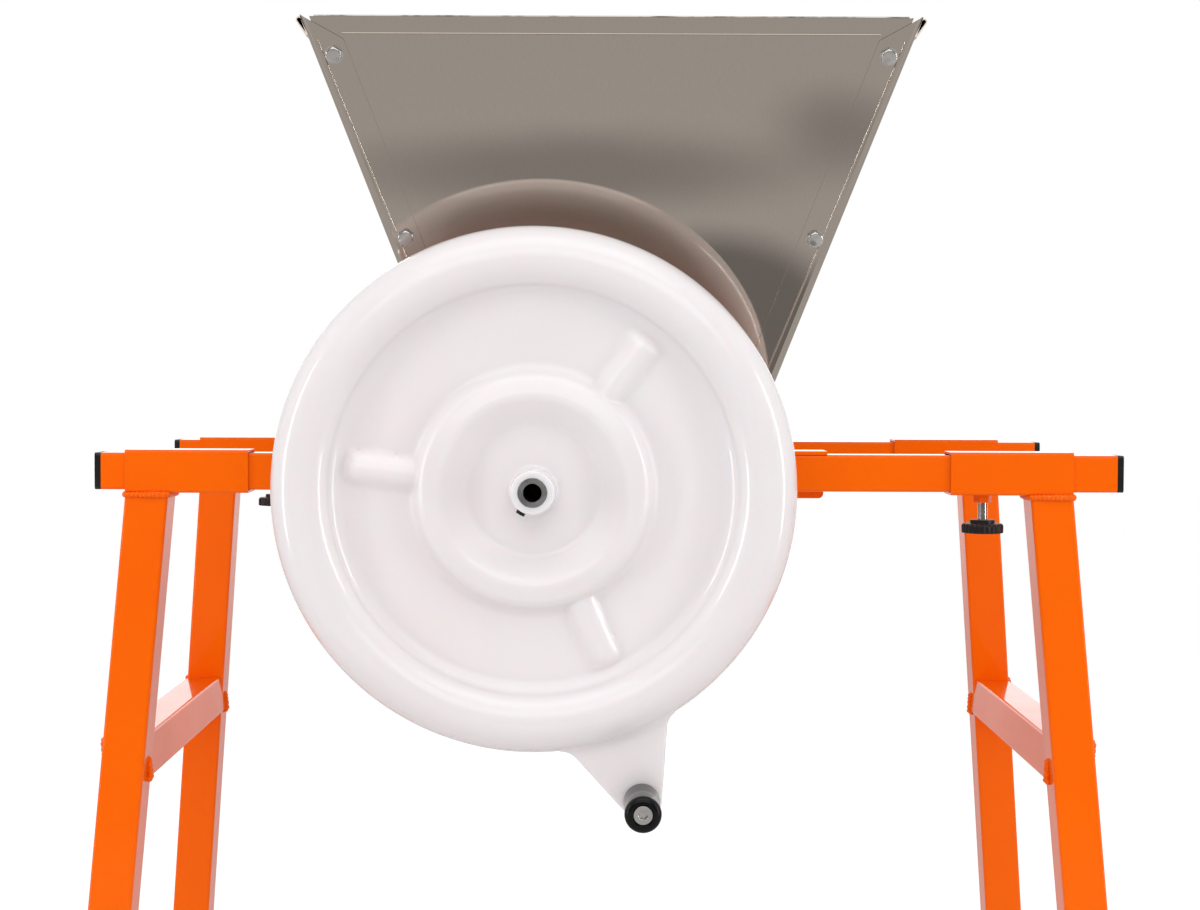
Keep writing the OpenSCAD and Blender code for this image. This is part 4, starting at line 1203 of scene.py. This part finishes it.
def area_light(name, place, size, power):
    """A soft rectangular lamp that faces the object."""
    data = bpy.data.lights.new(name, "AREA")
    data.shape = "RECTANGLE"
    data.size, data.size_y = size
    data.energy = power
    lamp = add_object(name, data)
    lamp.location = place
    lamp.rotation_euler = (Vector(LAMP_TARGET) - Vector(place)).to_track_quat("-Z", "Y").to_euler()
    lamp.visible_camera = False


def seen_in_mirror(tree, path):
    """Socket that is 1 for glossy and transmission rays."""
    return calculate(tree, "MAXIMUM", path.outputs["Is Glossy Ray"], path.outputs["Is Transmission Ray"])


def make_world(stage):
    """White to the camera, pale with a dimmer room in front to reflections, an even fill otherwise."""
    world = bpy.data.worlds.new("studio")
    world.use_nodes = True
    tree = world.node_tree
    path = add_node(tree, "ShaderNodeLightPath")
    way = add_node(tree, "ShaderNodeTexCoord").outputs["Generated"]
    depth = add_node(tree, "ShaderNodeSeparateXYZ", {0: way}).outputs["Y"]
    front, side = -0.9, -0.3
    mirrored = value_between(tree, depth, stage.room, stage.backdrop, front, side)
    level = value_between(tree, seen_in_mirror(tree, path), stage.fill, mirrored)
    level = value_between(tree, path.outputs["Is Camera Ray"], level, 1.0)
    tree.links.new(level, tree.nodes["Background"].inputs["Strength"])
    tree.nodes["Background"].inputs["Color"].default_value = (1, 1, 1, 1)
    bpy.context.scene.world = world


def painted_floor_oval(tree, place, reach, core, level):
    """Socket that goes from 1 at the rim of an oval on the floor to a level within its core: painted shade
    where the level is below 1, a painted pool of light where it is above.
    """
    moved = calculate_vector(tree, "SUBTRACT", object_place(tree), (*place, 0))
    scaled = calculate_vector(tree, "DIVIDE", moved, (*reach, 1))
    away = add_node(tree, "ShaderNodeVectorMath", {0: scaled}, operation="LENGTH").outputs["Value"]
    return value_between(tree, away, level, 1.0, core, 1.0, interpolation_type="SMOOTHSTEP")


def floor_material(stage):
    """Pale floor, white to the camera yet shadowed; reflections show it dimmer, with patches of painted
    shade and painted pools of light.
    """
    material, tree, shader = start_material("pale_floor", Roughness=1.0, Emission_Color=(1, 1, 1, 1))
    path = add_node(tree, "ShaderNodeLightPath")
    camera, mirrored = path.outputs["Is Camera Ray"], seen_in_mirror(tree, path)
    glow = value_between(tree, mirrored, 0.0, stage.mirrored_floor)
    # Painted shade and painted pools of light on the floor's glow in reflections
    for oval in PAINTED_FLOOR_SHADE_AND_LIGHT:
        glow = calculate(tree, "MULTIPLY", glow, painted_floor_oval(tree, *oval))
    pale, dim, shadow_part = (0.85, 0.85, 0.85), (0.08, 0.08, 0.08), (0.35, 0.35, 0.35)
    indirect = colour_between(tree, mirrored, pale, dim)
    shade(
        tree, shader,
        Base_Color=colour_between(tree, camera, indirect, shadow_part),
        Emission_Strength=value_between(tree, camera, glow, stage.seen_floor))
    return material


class CRUSHER_OT_stage(bpy.types.Operator):
    """Set the floor, the lamps, the world and the camera"""

    bl_idname = "crusher.stage"
    bl_label = "Stage"

    def execute(self, context):
        stage = context.scene.crusher_stage
        context.scene.view_settings.view_transform = "Standard"
        deselect_all()
        bpy.ops.mesh.primitive_plane_add(size=stage.floor_size, location=(0, 0, 0))
        floor = context.object
        floor.name = "floor"
        floor.data.materials.append(floor_material(stage))
        make_world(stage)
        for name, place, size, power in LAMPS:
            area_light(name, place, size, getattr(stage, power))
        data = bpy.data.cameras.new("camera")
        data.sensor_fit = "HORIZONTAL"
        data.sensor_width = stage.sensor
        data.lens = stage.focal_pixels / IMAGE_WIDTH * stage.sensor
        camera = add_object("camera", data)
        camera.location = stage.camera_place
        camera.rotation_euler = stage.camera_turn
        context.scene.camera = camera
        return {"FINISHED"}


class CRUSHER_PT_pieces(bpy.types.Panel):
    """Pieces of the crusher, in the order in which they are made"""

    bl_idname = "CRUSHER_PT_pieces"
    bl_label = "Grape crusher"
    bl_space_type = "VIEW_3D"
    bl_region_type = "UI"
    bl_category = "Crusher"

    def draw(self, context):
        column = self.layout.column()
        for operator in OPERATORS:
            column.operator(operator.bl_idname)


SETTINGS = {
    "crusher_wheel": WheelSettings,
    "crusher_handle": HandleSettings,
    "crusher_stand": StandSettings,
    "crusher_hopper": HopperSettings,
    "crusher_stage": StageSettings,
}
OPERATORS = (
    CRUSHER_OT_stage,
    CRUSHER_OT_flywheel,
    CRUSHER_OT_handle,
    CRUSHER_OT_hopper,
    CRUSHER_OT_stand,
    CRUSHER_OT_trim,
    CRUSHER_OT_knobs,
    CRUSHER_OT_fasteners,
    CRUSHER_OT_welds,
    CRUSHER_OT_works,
)


def register():
    for name, group in SETTINGS.items():
        bpy.utils.register_class(group)
        setattr(bpy.types.Scene, name, PointerProperty(type=group))
    for kind in (*OPERATORS, CRUSHER_PT_pieces):
        bpy.utils.register_class(kind)


def unregister():
    for kind in reversed((*OPERATORS, CRUSHER_PT_pieces)):
        bpy.utils.unregister_class(kind)
    for name, group in reversed(SETTINGS.items()):
        delattr(bpy.types.Scene, name)
        bpy.utils.unregister_class(group)


def main():
    register()
    make_materials(bpy.context.scene)
    bpy.ops.crusher.stage()
    bpy.ops.crusher.flywheel()
    bpy.ops.crusher.handle()
    bpy.ops.crusher.hopper()
    bpy.ops.crusher.stand()
    bpy.ops.crusher.trim()
    bpy.ops.crusher.knobs()
    bpy.ops.crusher.fasteners()
    bpy.ops.crusher.welds()
    bpy.ops.crusher.works()
    deselect_all()


if __name__ == "__main__":
    main()
